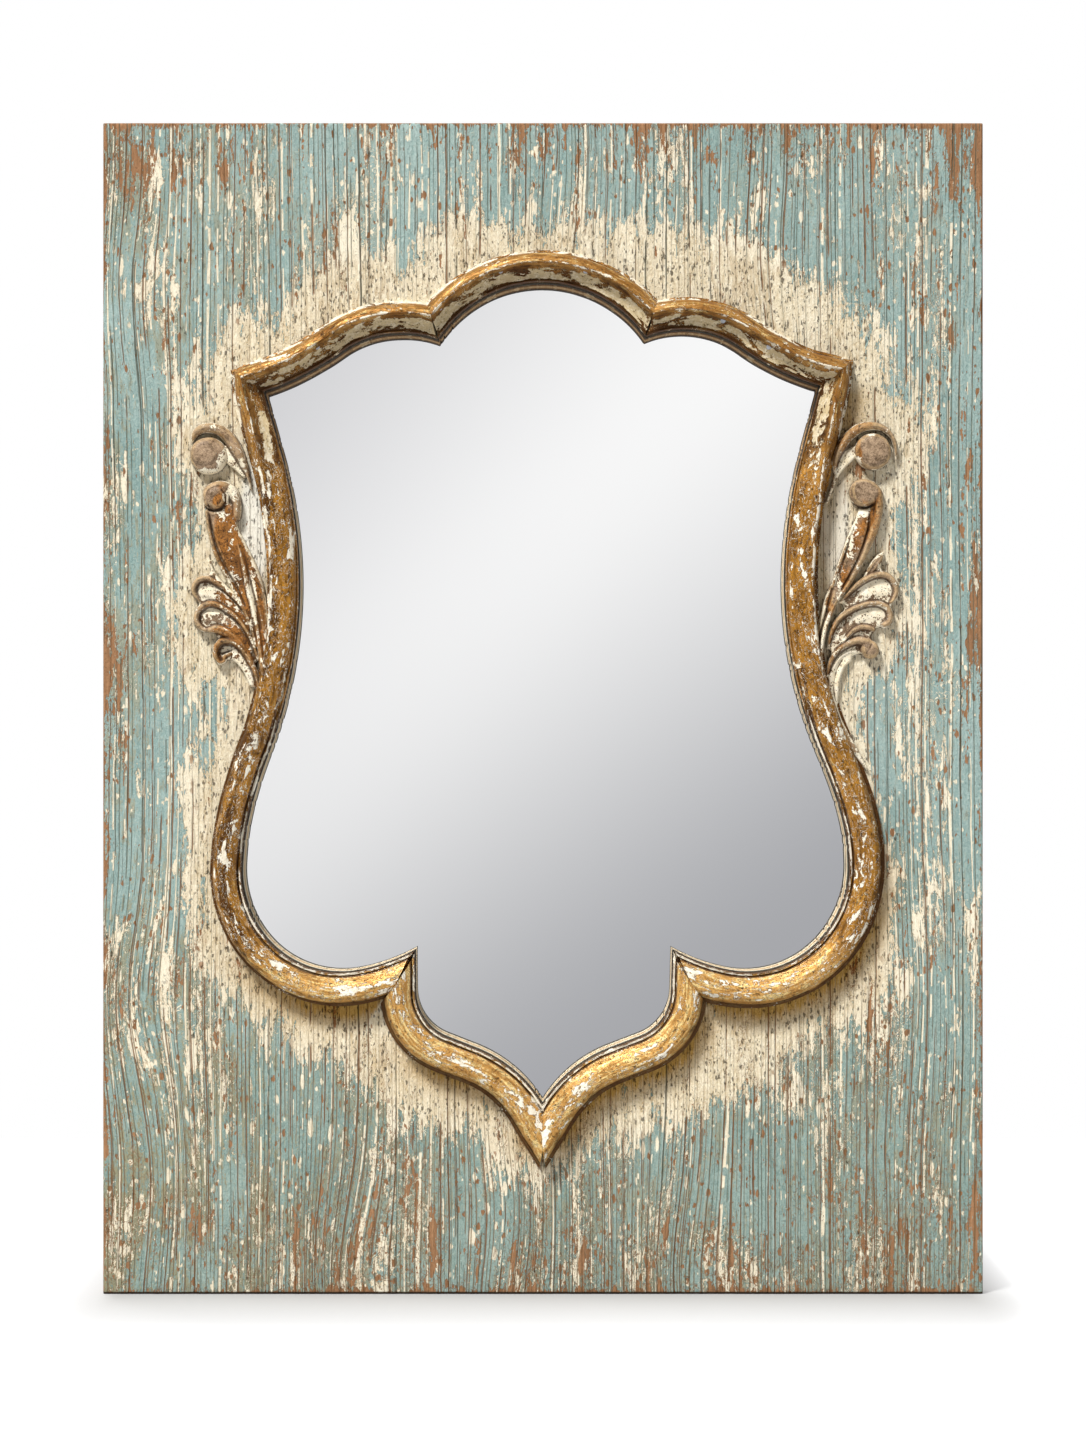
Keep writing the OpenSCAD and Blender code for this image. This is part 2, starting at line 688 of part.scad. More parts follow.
web_outline = [
    [7, -62], [13, -44], [22, -40], [30, -48], [40, -48], [43, -34], [50, -24], [51, -14],
    [53, -4], [50, 4], [40, 5], [30, -1], [20, -10], [12, -20], [7, -36]
];

line_steps = 2;
ring_steps = 6;
function blended(p, q, r, s, t) =
    0.5 * (2 * q + (r - p) * t + (2 * p - 5 * q + 4 * r - s) * t * t
        + (3 * q - p - 3 * r + s) * t * t * t);
function smooth(line) = let (n = len(line) - 1) [
    for (i = [0:n * line_steps])
        let (k = min(floor(i / line_steps), n - 1), t = i / line_steps - k)
            blended(line[max(k - 1, 0)], line[k], line[k + 1], line[min(k + 2, n)], t)
];
function beside(path, i, u) =
    let (n = len(path) - 1, d = path[min(i + 1, n)] - path[max(i - 1, 0)], l = norm([d[0], d[1]]))
        [path[i][0] + u * d[1] / l, path[i][1] - u * d[0] / l];

// A half-round ridge along a line, flat underneath
module ridge(line, height) {
    path = smooth(line);
    n = len(path) - 1;
    m = ring_steps + 1;
    points = [
        for (i = [0:n]) for (j = [0:ring_steps])
            let (a = 180 * j / ring_steps, q = beside(path, i, path[i][2] * cos(a)))
                [q[0], q[1], path[i][3] * height * sin(a)]
    ];
    polyhedron(points, skin(n, m), convexity = 10);
}

// The leaf's own band with its gap, which the fan is cut back to
leaf_path = smooth(leaf_line);
leaf_band = [
    for (m = [1, -1]) for (k = [0:len(leaf_path) - 1])
        let (i = m > 0 ? k : len(leaf_path) - 1 - k)
            beside(leaf_path, i, m * (leaf_path[i][2] + carving_gap))
];

// Trims a carving to the moulding's outer edge and sets it on the boards
module carved() {
    on_wall() translate([carving_at[0], carving_at[1], face_d]) intersection() {
        children();
        translate([waist_edge_r, 0, -1])
            cylinder(h = curl_h + 2, r = waist_edge_r - carving_gap, $fn = 256);
    }
}

function domed(r, h) = let (edge = h / 3) concat(
    [[0, 0], [r, 0]],
    [for (i = [0:4]) let (a = 90 * i / 4) [r - edge + edge * cos(a), h - edge + edge * sin(a)]],
    [[0, h]]);

module scroll_button() {
    on_wall() translate([carving_at[0] + button_at[0], carving_at[1] + button_at[1], face_d])
        rotate_extrude() polygon(domed(button_r, button_h));
}
module scroll() {
    carved() difference() {
        ridge(scroll_line, scroll_h);
        translate([button_at[0], button_at[1], -1])
            cylinder(h = scroll_h + 2, r = button_r + carving_gap);
    }
}

module leaf() {
    carved() {
        ridge(leaf_line, leaf_h);
        translate([curl_at[0], curl_at[1], 0]) rotate_extrude() polygon(domed(curl_r, curl_h));
    }
}

module leaf_fan() {
    carved() difference() {
        union() {
            for (line = ridge_lines) ridge(line, ridge_h);
            linear_extrude(web_t) polygon(web_outline);
        }
        translate([0, 0, -1]) linear_extrude(ridge_h + 2) polygon(leaf_band);
    }
}

module scroll_right() { color(carving) scroll(); }
module scroll_left() { color(carving) mirror([1, 0, 0]) scroll(); }
module scroll_button_right() { color(carving) scroll_button(); }
module scroll_button_left() { color(carving) mirror([1, 0, 0]) scroll_button(); }
module leaf_right() { color(carving) leaf(); }
module leaf_left() { color(carving) mirror([1, 0, 0]) leaf(); }
module leaf_fan_right() { color(carving) leaf_fan(); }
module leaf_fan_left() { color(carving) mirror([1, 0, 0]) leaf_fan(); }

board_1();
board_2_top();
board_2_bottom();
board_3_top();
board_3_bottom();
board_4_top();
board_4_bottom();
board_5_top();
board_5_bottom();
board_6();
rail_top();
rail_bottom();
stile_left();
stile_right();
batten_screws();
glass_tape();
mirror_glass();
mirror_silvering();
foam_pad();
backing_board();
backing_screws();
hanger_strap_left();
hanger_strap_right();
hanger_ring_left();
hanger_ring_right();
hanger_screws();
moulding_arch();
moulding_shoulder_left();
moulding_shoulder_right();
moulding_side_left();
moulding_side_right();
moulding_bowl_left();
moulding_bowl_right();
moulding_point_left();
moulding_point_right();
moulding_screws();
scroll_left();
scroll_right();
scroll_button_left();
scroll_button_right();
leaf_left();
leaf_right();
leaf_fan_left();
leaf_fan_right();
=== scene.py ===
import math

import bmesh
import bpy
import numpy as np
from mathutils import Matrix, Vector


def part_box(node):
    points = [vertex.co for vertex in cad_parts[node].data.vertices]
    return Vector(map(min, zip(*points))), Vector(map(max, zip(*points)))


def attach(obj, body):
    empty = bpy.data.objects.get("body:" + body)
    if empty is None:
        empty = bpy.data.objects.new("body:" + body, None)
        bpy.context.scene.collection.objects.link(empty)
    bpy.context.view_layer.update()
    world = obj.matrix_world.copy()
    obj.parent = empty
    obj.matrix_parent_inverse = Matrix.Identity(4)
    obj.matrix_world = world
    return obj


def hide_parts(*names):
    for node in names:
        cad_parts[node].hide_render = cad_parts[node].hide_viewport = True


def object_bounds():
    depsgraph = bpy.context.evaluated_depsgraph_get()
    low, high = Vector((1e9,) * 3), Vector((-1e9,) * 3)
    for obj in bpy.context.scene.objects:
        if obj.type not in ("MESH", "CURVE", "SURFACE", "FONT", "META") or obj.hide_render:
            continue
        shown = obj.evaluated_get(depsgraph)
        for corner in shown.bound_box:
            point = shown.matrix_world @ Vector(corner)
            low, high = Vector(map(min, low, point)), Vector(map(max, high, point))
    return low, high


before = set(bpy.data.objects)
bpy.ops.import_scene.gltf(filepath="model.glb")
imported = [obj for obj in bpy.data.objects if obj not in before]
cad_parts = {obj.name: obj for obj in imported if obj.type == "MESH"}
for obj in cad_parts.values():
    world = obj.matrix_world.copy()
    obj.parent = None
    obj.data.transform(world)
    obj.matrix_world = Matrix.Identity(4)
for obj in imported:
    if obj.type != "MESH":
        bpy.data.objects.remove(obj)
cad_low, cad_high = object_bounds()

# The room is a white floor in white surroundings. The camera stands straight in front of the
# panel, just under the height of its middle, and a large soft lamp hangs up on its left.
photo_w, photo_h = 1086, 1448
pixel = 0.6932e-3
panel_middle_row = 708.5
eye_distance = 2.5
sensor = 36
face_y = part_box("board_1")[0].y
floor_z = cad_low.z

camera = bpy.data.objects.new("camera", bpy.data.cameras.new("camera"))
bpy.context.scene.collection.objects.link(camera)
camera.data.sensor_fit = "VERTICAL"
camera.data.sensor_height = sensor
camera.data.lens = sensor * eye_distance / (photo_h * pixel)
camera.data.clip_end = 30
camera.location = (0, face_y - eye_distance, (panel_middle_row - photo_h / 2) * pixel)
camera.rotation_euler = (math.pi / 2, 0, 0)
bpy.context.scene.camera = camera
bpy.context.scene.view_settings.view_transform = "Standard"


def lamp(name, place, aim, width, height, power, tint=(1, 1, 1)):
    """A rectangular soft lamp at place that faces the point aim."""
    data = bpy.data.lights.new(name, "AREA")
    data.shape, data.size, data.size_y = "RECTANGLE", width, height
    data.energy, data.color = power, tint
    light = bpy.data.objects.new(name, data)
    light.location = place
    toward = (np.array(aim) - np.array(place)).tolist()
    light.rotation_euler = Vector(toward).to_track_quat("-Z", "Y").to_euler()
    bpy.context.scene.collection.objects.link(light)


lamp("key_lamp", (-2.4, -3.7, 5.4), (0, 0, 0), 1.1, 1.1, 705, (1, 0.985, 0.96))
lamp("fill_lamp", (2.2, -2.4, 0.3), (0, 0, 0), 1.6, 1.6, 6, (0.95, 0.975, 1))
lamp("back_lamp", (-1.0, 2.2, 1.6), (0, 0, 0), 1.6, 1.6, 40)


class Wire:
    """A socket that can be added, subtracted, multiplied and divided, by way of Math nodes."""

    def __init__(self, finish, socket):
        self.finish, self.socket = finish, socket

    def math(self, operation, *others):
        return self.finish.node(
            "ShaderNodeMath", {"operation": operation}, dict(enumerate((self, *others))))

    def __add__(self, other):
        return self.math("ADD", other)

    def __sub__(self, other):
        return self.math("SUBTRACT", other)

    def __mul__(self, other):
        return self.math("MULTIPLY", other)

    def __truediv__(self, other):
        return self.math("DIVIDE", other)

    def __rsub__(self, other):
        return (self * -1) + other

    __radd__, __rmul__ = __add__, __mul__

    def also(self, output):
        """Another output of the node that this one comes from."""
        return Wire(self.finish, self.socket.node.outputs[output])

    def rising(self, low, high):
        """0 under low, 1 over high, smooth between them."""
        return self.finish.node(
            "ShaderNodeMapRange", {"interpolation_type": "SMOOTHSTEP"}, {0: self, 1: low, 2: high})


class Finish:
    """The node tree of a material or of the world."""

    def __init__(self, name=None, tree=None):
        if tree is None:
            self.material = bpy.data.materials.new(name)
            self.material.use_nodes = True
            tree = self.material.node_tree
        self.tree = tree
        tree.nodes.clear()

    def node(self, kind, settings=None, inputs=None, output=0):
        """A node of that kind, with its settings, then its sockets' values or links.

        Gives one of its outputs.
        """
        made = self.tree.nodes.new(kind)
        for name, value in (settings or {}).items():
            setattr(made, name, value)
        for name, value in (inputs or {}).items():
            if isinstance(value, Wire):
                self.tree.links.new(value.socket, made.inputs[name])
            else:
                made.inputs[name].default_value = value
        return Wire(self, made.outputs[output]) if made.outputs else None

    def blend(self, first, second, share):
        """The first colour where share is 0, the second where it is 1."""
        return self.node(
            "ShaderNodeMix", {"data_type": "RGBA"}, {0: share, 6: first, 7: second}, 2)

    def place(self):
        """The place on the object, in metres."""
        return self.node("ShaderNodeTexCoord", output="Object")

    def parts(self, vector, axes=(0, 1, 2)):
        """The vector's parts along those axes."""
        return (self.node("ShaderNodeSeparateXYZ", None, {0: vector}, k) for k in axes)


def colour(red, green, blue):
    """The linear colour of 0 to 255 screen values: ((c + 0.055) / 1.055) ** 2.4."""
    share = np.array([red, green, blue]) / 255
    linear = np.where(share > 0.04045, ((share + 0.055) / 1.055) ** 2.4, share / 12.92)
    return (*linear.tolist(), 1)


def grey(level):
    return (level, level, level, 1)


def surroundings():
    """White to the eye. The mirror shows a dim studio: pale up on its left, darker down on its
    right, in two slanted steps."""
    world = bpy.data.worlds.new("surroundings")
    world.use_nodes = True
    bpy.context.scene.world = world
    w = Finish(tree=world.node_tree)
    x, z = w.parts(w.node("ShaderNodeTexCoord", output="Generated"), (0, 2))
    reflected = w.blend(colour(167, 168, 172), colour(250, 250, 250),
                        (z * 0.862 - x * 0.587).rising(-0.098, 0.065))
    reflected = w.blend(reflected, colour(202, 202, 205),
                        (z * 0.62 - x * 0.828).rising(0.011, 0.157))
    path = {k: w.node("ShaderNodeLightPath", output=k)
            for k in ("Is Camera Ray", "Is Glossy Ray", "Is Transmission Ray")}
    mirrored = path["Is Glossy Ray"].math("MAXIMUM", path["Is Transmission Ray"])
    lit = w.blend((0.195, 0.178, 0.155, 1), reflected, mirrored)
    seen = w.blend(lit, grey(1), path["Is Camera Ray"])
    shade = w.node("ShaderNodeBackground", None, {"Color": seen, "Strength": 1})
    w.node("ShaderNodeOutputWorld", None, {0: shade})


surroundings()


def surface(finish, relief=None, **sockets):
    """A Principled shader on the material's output, with a fine relief in metres.

    The sockets' names have _ for the spaces.
    """
    inputs = {name.replace("_", " "): value for name, value in sockets.items()}
    if relief is not None:
        inputs["Normal"] = finish.node(
            "ShaderNodeBump", None, {"Strength": 1, "Distance": 1, "Height": relief})
    shade = finish.node("ShaderNodeBsdfPrincipled", None, inputs)
    finish.node("ShaderNodeOutputMaterial", None, {0: shade})
    return finish.material


def floor():
    """A white sheet that takes the panel's shadow. It glows up to the background's white with the
    distance off = sqrt(14 beside^2 + ahead^2) from the panel's foot, so the dimmer glow near the
    foot is a painted shadow there as well."""
    w, near, far = 1.6, -1.1, 0.9
    sideways, tuck, reach = 14, 0.012, 0.15
    mesh = bpy.data.meshes.new("floor")
    mesh.from_pydata([(x, y, floor_z) for x, y in ((-w, near), (w, near), (w, far), (-w, far))],
                     [], [(0, 1, 2, 3)])
    sheet = bpy.data.objects.new("floor", mesh)
    bpy.context.scene.collection.objects.link(sheet)
    f = Finish("white_floor")
    x, y = f.parts(f.place(), (0, 1))
    beside = (x.math("ABSOLUTE") - cad_high.x + tuck).math("MAXIMUM", 0.0)
    ahead = (y * -1 + face_y).math("MAXIMUM", 0.0)
    off = (beside * beside * sideways + ahead * ahead).math("SQRT")
    # Painted shadow: the glow is least at the panel's foot and grows over 0.15 m
    glow = f.blend(grey(0.10), grey(0.90), (off / reach).math("MINIMUM", 1.0))
    glow = f.blend(glow, grey(1), off.rising(0.13, 0.18))
    pale = f.blend(grey(0.36), grey(0.12), off.rising(0.0, reach))
    mesh.materials.append(surface(f, Base_Color=pale, Roughness=0.9, Emission_Color=glow,
                                  Emission_Strength=1))


floor()


# The panel: six softwood boards, grain upright, tongued and grooved together, with the shield
# cut through them. They were painted cream and then teal, and rubbed back along the raised
# grain, so that cream shows round the carved work and bare wood along the outer edges.
seams = (-0.305, -0.203, -0.1015, 0, 0.1015, 0.203, 0.305)
panel_half_h = 0.406
back_y = -0.016
tongue_half_t, tongue_depth = 0.003, 0.006
corner_round, seam_round = 0.0016, 0.0006
grain_step_x, grain_step_z = 0.0008, 0.0034

# The shield's outline, top to tip on the right: each stretch is a radius and its turn in
# degrees, left turns positive, or a straight length and 0. A start is (x, z, heading).
arch = ((0.0855, -57),)
shoulder = ((0.069, -58), (0.190, 18.5))
side = ((0.044, 0), (0.315, 27))
bowl = ((0.315, 11), (0.227, -20.5), (0.069, -103), (0.138, -17))
point = ((0.029, 0), (0.0345, -67), (0.021, 0), (0.0928, 37))
shoulder_heading, side_heading, point_heading = 21.5, -106, -91
moulding_reach, setback = 0.0225, 0.001


def walk(start, stretches, step=0.0005):
    """Rows of x, z, heading and length gone along a chain of stretches.

    Where the path turns, x = x0 + k (sin h - sin a) and z = z0 - k (cos h - cos a), with a the
    first heading, h the heading reached and k the radius, which is negative in a right turn.
    """
    x, z, a, gone = start[0], start[1], math.radians(start[2]), 0.0
    rows = [[[x, z, a, gone]]]
    for size, turn in stretches:
        t = math.radians(turn)
        length = size * abs(t) if turn else size
        share = np.linspace(0, 1, max(2, math.ceil(length / step)))[1:]
        h = a + t * share
        if turn:
            k = math.copysign(size, t)
            px, pz = x + k * (np.sin(h) - math.sin(a)), z - k * (np.cos(h) - math.cos(a))
        else:
            px, pz = x + size * share * math.cos(a), z + size * share * math.sin(a)
        rows.append(np.stack([px, pz, h, gone + length * share], 1))
        x, z, a, gone = px[-1], pz[-1], h[-1], gone + length
    return np.concatenate(rows)


def end_of(rows, heading=None):
    """Where the next path starts: the last place, with its own heading or a new one."""
    x, z, a, _ = rows[-1]
    return (x, z, math.degrees(a) if heading is None else heading)


arch_start = (0, 0.292, 0)
arch_path = walk(arch_start, arch)
shoulder_start = end_of(arch_path, shoulder_heading)
shoulder_path = walk(shoulder_start, shoulder)
side_start = end_of(shoulder_path, side_heading)
side_path = walk(side_start, side)
bowl_start = end_of(side_path)
bowl_path = walk(bowl_start, bowl)
point_start = end_of(bowl_path, point_heading)
point_path = walk(point_start, point)


def eased(share):
    """3 t^2 - 2 t^3, with t kept between 0 and 1."""
    share = np.clip(share, 0, 1)
    return share * share * (3 - 2 * share)


# How far the shield's top was cut above its drawn place, as x and rise, and how far its lower
# half was cut to either side, as x and shift. The lean and the blunt corners are soft spots,
# each with its size, its place and its reach.
top_rise = ((-0.200, -0.155, -0.100, -0.030, 0.050, 0.080, 0.150, 0.190, 0.220),
            (0.0030, 0.0034, 0.0018, 0.0028, 0.0029, 0.0040, 0.0054, 0.0068, 0.0100))
low_spread = ((-0.070, 0.030, 0.070), (-0.0018, 0.0014, 0.0036))
lean_by, lean_z, lean_reach, left_by = 0.0017, -0.075, 0.085, 0.0007
blunt_by, blunt_x, blunt_z, blunt_reach_x, blunt_reach_z = 0.0045, 0.218, 0.235, 0.009, 0.02
deeper_by = 0.002


def as_cut(x, z):
    """Where the shield was really cut: its lower half leans right and is a little wider and
    deeper, its top stands a few millimetres higher, and its upper corners are blunter."""
    lean = lean_by * np.exp(-((z - lean_z) / lean_reach) ** 2) - left_by
    blunt = blunt_by * np.exp(-((np.abs(x) - blunt_x) / blunt_reach_x) ** 2
                              - ((z - blunt_z) / blunt_reach_z) ** 2)
    spread = eased((-0.03 - z) / 0.07) * np.interp(x, *low_spread)
    rise = eased((z - 0.10) / 0.115) * np.interp(x, *top_rise)
    rise = rise - deeper_by * eased((-0.12 - z) / 0.06)
    return x + lean + spread - np.sign(x) * blunt, z + rise


half_line = np.concatenate([p[:-1, :2] for p in (arch_path, shoulder_path, side_path, bowl_path,
                                                  point_path)])
shield_line = np.concatenate([half_line, half_line[:0:-1] * (-1, 1)])
shield_line = np.stack(as_cut(*shield_line.T), 1)
coarse_line = shield_line[::6]


def distance_to(line, x, z):
    """Distance of each place x, z to the nearest point of a line, and that point's number."""
    most_at_once = 4_000_000
    flat = np.stack([x.ravel(), z.ravel()], 1)
    found = [((part[:, None] - line[None]) ** 2).sum(2) for part in np.array_split(
        flat, max(1, len(flat) * len(line) // most_at_once))]
    nearest = np.concatenate([f.argmin(1) for f in found])
    away = np.sqrt(np.concatenate([f.min(1) for f in found]))
    return away.reshape(x.shape), nearest.reshape(x.shape)


def mottle(a, b, seed):
    """Smooth random field between 0 and 1: lattice values blended by 3 t^2 - 2 t^3 both ways."""
    size = 256
    table = np.random.default_rng(seed).random((size, size))
    i, j = np.floor(a).astype(int), np.floor(b).astype(int)
    u, v = eased(a - i), eased(b - j)
    i, j, k, m = i % size, j % size, (i + 1) % size, (j + 1) % size
    return ((table[i, j] * (1 - u) + table[k, j] * u) * (1 - v)
            + (table[i, m] * (1 - u) + table[k, m] * u) * v)


def ruled(low, high, step, eased_low, eased_high):
    """Even grid lines from low to high, with closer ones over the eased widths at the ends."""
    inner = np.arange(0.25, 1, 0.25)
    ends = [low, *(low + eased_low * inner), *(high - eased_high * inner[::-1]), high]
    middle = np.linspace(low + eased_low, high - eased_high,
                         max(2, round((high - low - eased_low - eased_high) / step) + 1))
    return np.unique(np.round(np.concatenate([ends, middle]), 7))


def in_shield(x_lines, z_lines):
    """Whether each grid place is in the shield: an odd count of its row's crossings lie left."""
    most_crossings = 8
    a, b = shield_line, np.roll(shield_line, -1, 0)
    z = z_lines[:, None]
    spans = (a[:, 1] > z) != (b[:, 1] > z)
    rise = np.where(a[:, 1] == b[:, 1], 1, b[:, 1] - a[:, 1])
    cross = np.where(spans, a[:, 0] + (z - a[:, 1]) * (b[:, 0] - a[:, 0]) / rise, np.inf)
    cross = np.sort(cross, 1)[:, :most_crossings]
    return (x_lines[:, None, None] > cross[None]).sum(2) % 2 == 1


def spots(places, x, z):
    """Sum of soft spots: strength times exp(-(dx / half width)^2 - (dz / half height)^2)."""
    return sum(s * np.exp(-((x - px) / w) ** 2 - ((z - pz) / h) ** 2)
               for px, pz, w, h, s in places)


# Where the grain bends round a knot or a branch: (x, z, half width, half height, sideways shift)
bends = (
    (-0.285, -0.200, 0.030, 0.060, 0.010), (-0.268, -0.330, 0.026, 0.070, -0.007),
    (-0.135, -0.390, 0.030, 0.060, 0.012), (0.095, -0.395, 0.026, 0.070, 0.011),
    (-0.285, 0.290, 0.024, 0.060, 0.007), (0.020, 0.385, 0.040, 0.060, -0.005),
    (0.150, 0.310, 0.030, 0.060, 0.006), (0.262, -0.200, 0.030, 0.090, -0.006),
    (-0.020, -0.350, 0.030, 0.050, -0.006))


def grain_of(i, x, z):
    """Which growth ring each place of board i lies on, as metres across the board."""
    wander = 0.0032 * mottle(x / 0.07 + 31 * i, z / 0.21, 3)
    wander = wander + 0.0011 * mottle(x / 0.02, z / 0.06, 4)
    return x + wander + spots(bends, x, z) + 0.7 * i


def relief_of(grain, z):
    """Raised grain from -1 to 1: broad and fine ribs that run along the growth rings."""
    broad = mottle(grain / 0.0062, z / 0.32, 11)
    fine = mottle(grain / 0.0026, z / 0.13, 12)
    return np.clip(1.5 * (broad - 0.5) + 0.9 * (fine - 0.5), -1, 1)


# Where the rubbing went further: (x, z, half width, half height, how much wider the cream is)
rubbed = (
    (-0.055, 0.320, 0.035, 0.030, 0.026), (-0.125, 0.285, 0.055, 0.040, 0.026),
    (0.085, 0.307, 0.050, 0.042, 0.040), (0.160, 0.270, 0.060, 0.045, 0.046),
    (0.215, 0.232, 0.030, 0.030, 0.020),
    (-0.215, 0.250, 0.040, 0.045, 0.014), (0.245, 0.215, 0.030, 0.050, 0.014),
    (-0.255, 0.145, 0.030, 0.065, -0.032), (-0.245, -0.030, 0.038, 0.070, 0.010),
    (0.250, 0.010, 0.030, 0.090, -0.026), (-0.225, -0.170, 0.030, 0.040, 0.006),
    (0.250, -0.110, 0.030, 0.060, -0.022), (0.220, -0.190, 0.045, 0.030, 0.028),
    (0.132, -0.245, 0.045, 0.036, 0.050), (-0.140, -0.225, 0.060, 0.040, 0.026),
    (-0.080, -0.265, 0.035, 0.040, 0.032), (0.070, -0.275, 0.060, 0.040, 0.024),
    (-0.020, -0.330, 0.035, 0.030, 0.010))

# Where flecks of cream lie thicker in the teal, and where the wood is bare: (x, z, half
# width, half height, strength)
flecked = (
    (-0.270, 0.370, 0.030, 0.030, 0.16), (-0.070, 0.360, 0.110, 0.050, 0.14),
    (0.110, 0.350, 0.090, 0.050, 0.08), (-0.285, 0.290, 0.040, 0.040, 0.16),
    (-0.285, 0.150, 0.030, 0.140, 0.06), (0.270, 0.080, 0.035, 0.180, 0.10),
    (-0.270, -0.110, 0.040, 0.120, 0.12), (0.250, -0.200, 0.060, 0.050, 0.20),
    (-0.250, -0.230, 0.060, 0.060, 0.16), (0.150, -0.260, 0.120, 0.040, 0.12),
    (-0.080, -0.390, 0.120, 0.030, 0.10), (0.120, -0.380, 0.100, 0.030, 0.06),
    (0.285, -0.080, 0.030, 0.080, 0.10))
bared = (
    (0.300, 0.040, 0.016, 0.080, 0.30), (0.298, 0.160, 0.014, 0.060, 0.22),
    (0.290, 0.380, 0.040, 0.035, 0.34), (-0.270, 0.385, 0.060, 0.025, 0.30),
    (0.150, 0.390, 0.100, 0.025, 0.26), (-0.060, 0.390, 0.100, 0.018, 0.22),
    (-0.297, 0.020, 0.012, 0.060, 0.30), (0.270, -0.365, 0.050, 0.040, 0.26),
    (0.180, -0.330, 0.060, 0.060, 0.12), (-0.160, -0.360, 0.140, 0.050, 0.16),
    (0.050, -0.385, 0.130, 0.025, 0.20), (0.215, 0.175, 0.014, 0.030, 0.26),
    (0.275, 0.260, 0.012, 0.050, 0.22), (-0.060, 0.335, 0.020, 0.030, 0.06),
    (0.250, -0.235, 0.040, 0.040, 0.14), (-0.240, 0.330, 0.050, 0.050, 0.08),
    (-0.230, 0.140, 0.040, 0.050, 0.10), (0.260, 0.130, 0.030, 0.060, 0.10))

# Where white gesso lies on the boards, between the leaves and the moulding
gessoed = ((0.2025, 0.130, 0.010, 0.050, 1), (-0.2000, 0.128, 0.011, 0.050, 1))

# The carved work's rough outline, which the cream spreads round: rows of (x, z, reach)
carved_places = np.array([(m * x, z, r) for m in (-1, 1) for x, z, r in (
    (0.229, 0.180, 0.020), (0.224, 0.150, 0.013), (0.222, 0.120, 0.015), (0.226, 0.095, 0.018),
    (0.230, 0.070, 0.018), (0.222, 0.045, 0.018))])
cream_reach, cream_fade, slight_wear = 0.017, 0.085, 0.19
# How far the painted shadow under the moulding reaches, and its slant: a little to the right,
# mostly down
painted_shadow_reach, painted_shadow_aside, painted_shadow_below = 0.015, 0.35, 0.94
hair = 1e-6


def clear_of_work(x, z):
    """How far each place lies outside the moulding and the carved work."""
    from_line, _ = distance_to(coarse_line, x, z)
    from_carving = [np.hypot(x - px, z - pz) - r for px, pz, r in carved_places]
    return np.minimum(from_line - moulding_reach, np.min(from_carving, 0))


def wear(x, z):
    """How worn each place is, to cream and to bare wood: 0.5 is the edge of a worn area."""
    clear = clear_of_work(x, z)
    width = cream_reach + spots(rubbed, x, z)
    cream = slight_wear + spots(flecked, x, z)
    cream = np.maximum(cream, np.minimum(1.0, 0.5 + (width - clear) / cream_fade))
    cream += 0.25 * np.exp(-np.maximum(clear, 0) / 0.005) + spots(gessoed, x, z)
    edge = np.minimum(seams[-1] - np.abs(x), panel_half_h - np.abs(z))
    bare = slight_wear + 0.8 * spots(bared, x, z) + 0.42 * np.exp(-edge / 0.003)
    return cream, bare


def painted_shadow_at(x, z):
    """Painted shadow along the moulding's lower side, where it hides the lamp up on the left:
    exp(-(clear / reach)^2), times how squarely the place lies below the moulding, a little to its
    right."""
    away, k = distance_to(coarse_line, x, z)
    aside, above = x - coarse_line[k, 0], z - coarse_line[k, 1]
    below = (aside * painted_shadow_aside - above * painted_shadow_below) / np.maximum(away, hair)
    clear = np.maximum(away - moulding_reach, 0)
    return np.exp(-(clear / painted_shadow_reach) ** 2) * eased(below)


def shell(name, places, faces):
    """A mesh piece on the panel, from an array of places and an array of four-cornered faces."""
    used, compact = np.unique(faces, return_inverse=True)
    mesh = bpy.data.meshes.new(name)
    mesh.from_pydata(places[used], [], compact.reshape(-1, 4))
    mesh.shade_smooth()
    piece = bpy.data.objects.new(name, mesh)
    bpy.context.scene.collection.objects.link(piece)
    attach(piece, "panel")
    return piece, used


def closed(piece, sharp):
    """Fills a mesh's open rims, turns its faces outward and keeps its edges over sharp degrees."""
    shape = bmesh.new()
    shape.from_mesh(piece.data)
    bmesh.ops.edgeloop_fill(shape, edges=[e for e in shape.edges if len(e.link_faces) == 1])
    bmesh.ops.recalc_face_normals(shape, faces=shape.faces)
    for e in shape.edges:
        e.smooth = e.calc_face_angle(0) < math.radians(sharp)
    shape.to_mesh(piece.data)
    shape.free()


def store(piece, fields):
    """Keeps numbers for each point of the mesh, which its finish reads by name."""
    for name, values in fields.items():
        kept = piece.data.attributes.new(name, "FLOAT", "POINT")
        kept.data.foreach_set("value", np.ascontiguousarray(values, np.float32).ravel())


# The four corners of every cell of a grid
corners = [(slice(None, -1), slice(None, -1)), (slice(1, None), slice(None, -1)),
           (slice(1, None), slice(1, None)), (slice(None, -1), slice(1, None))]
snap_within, snap_cells = 0.008, 0.6
rib_height, sag, cut_within = 0.00028, 0.0002, 0.0016


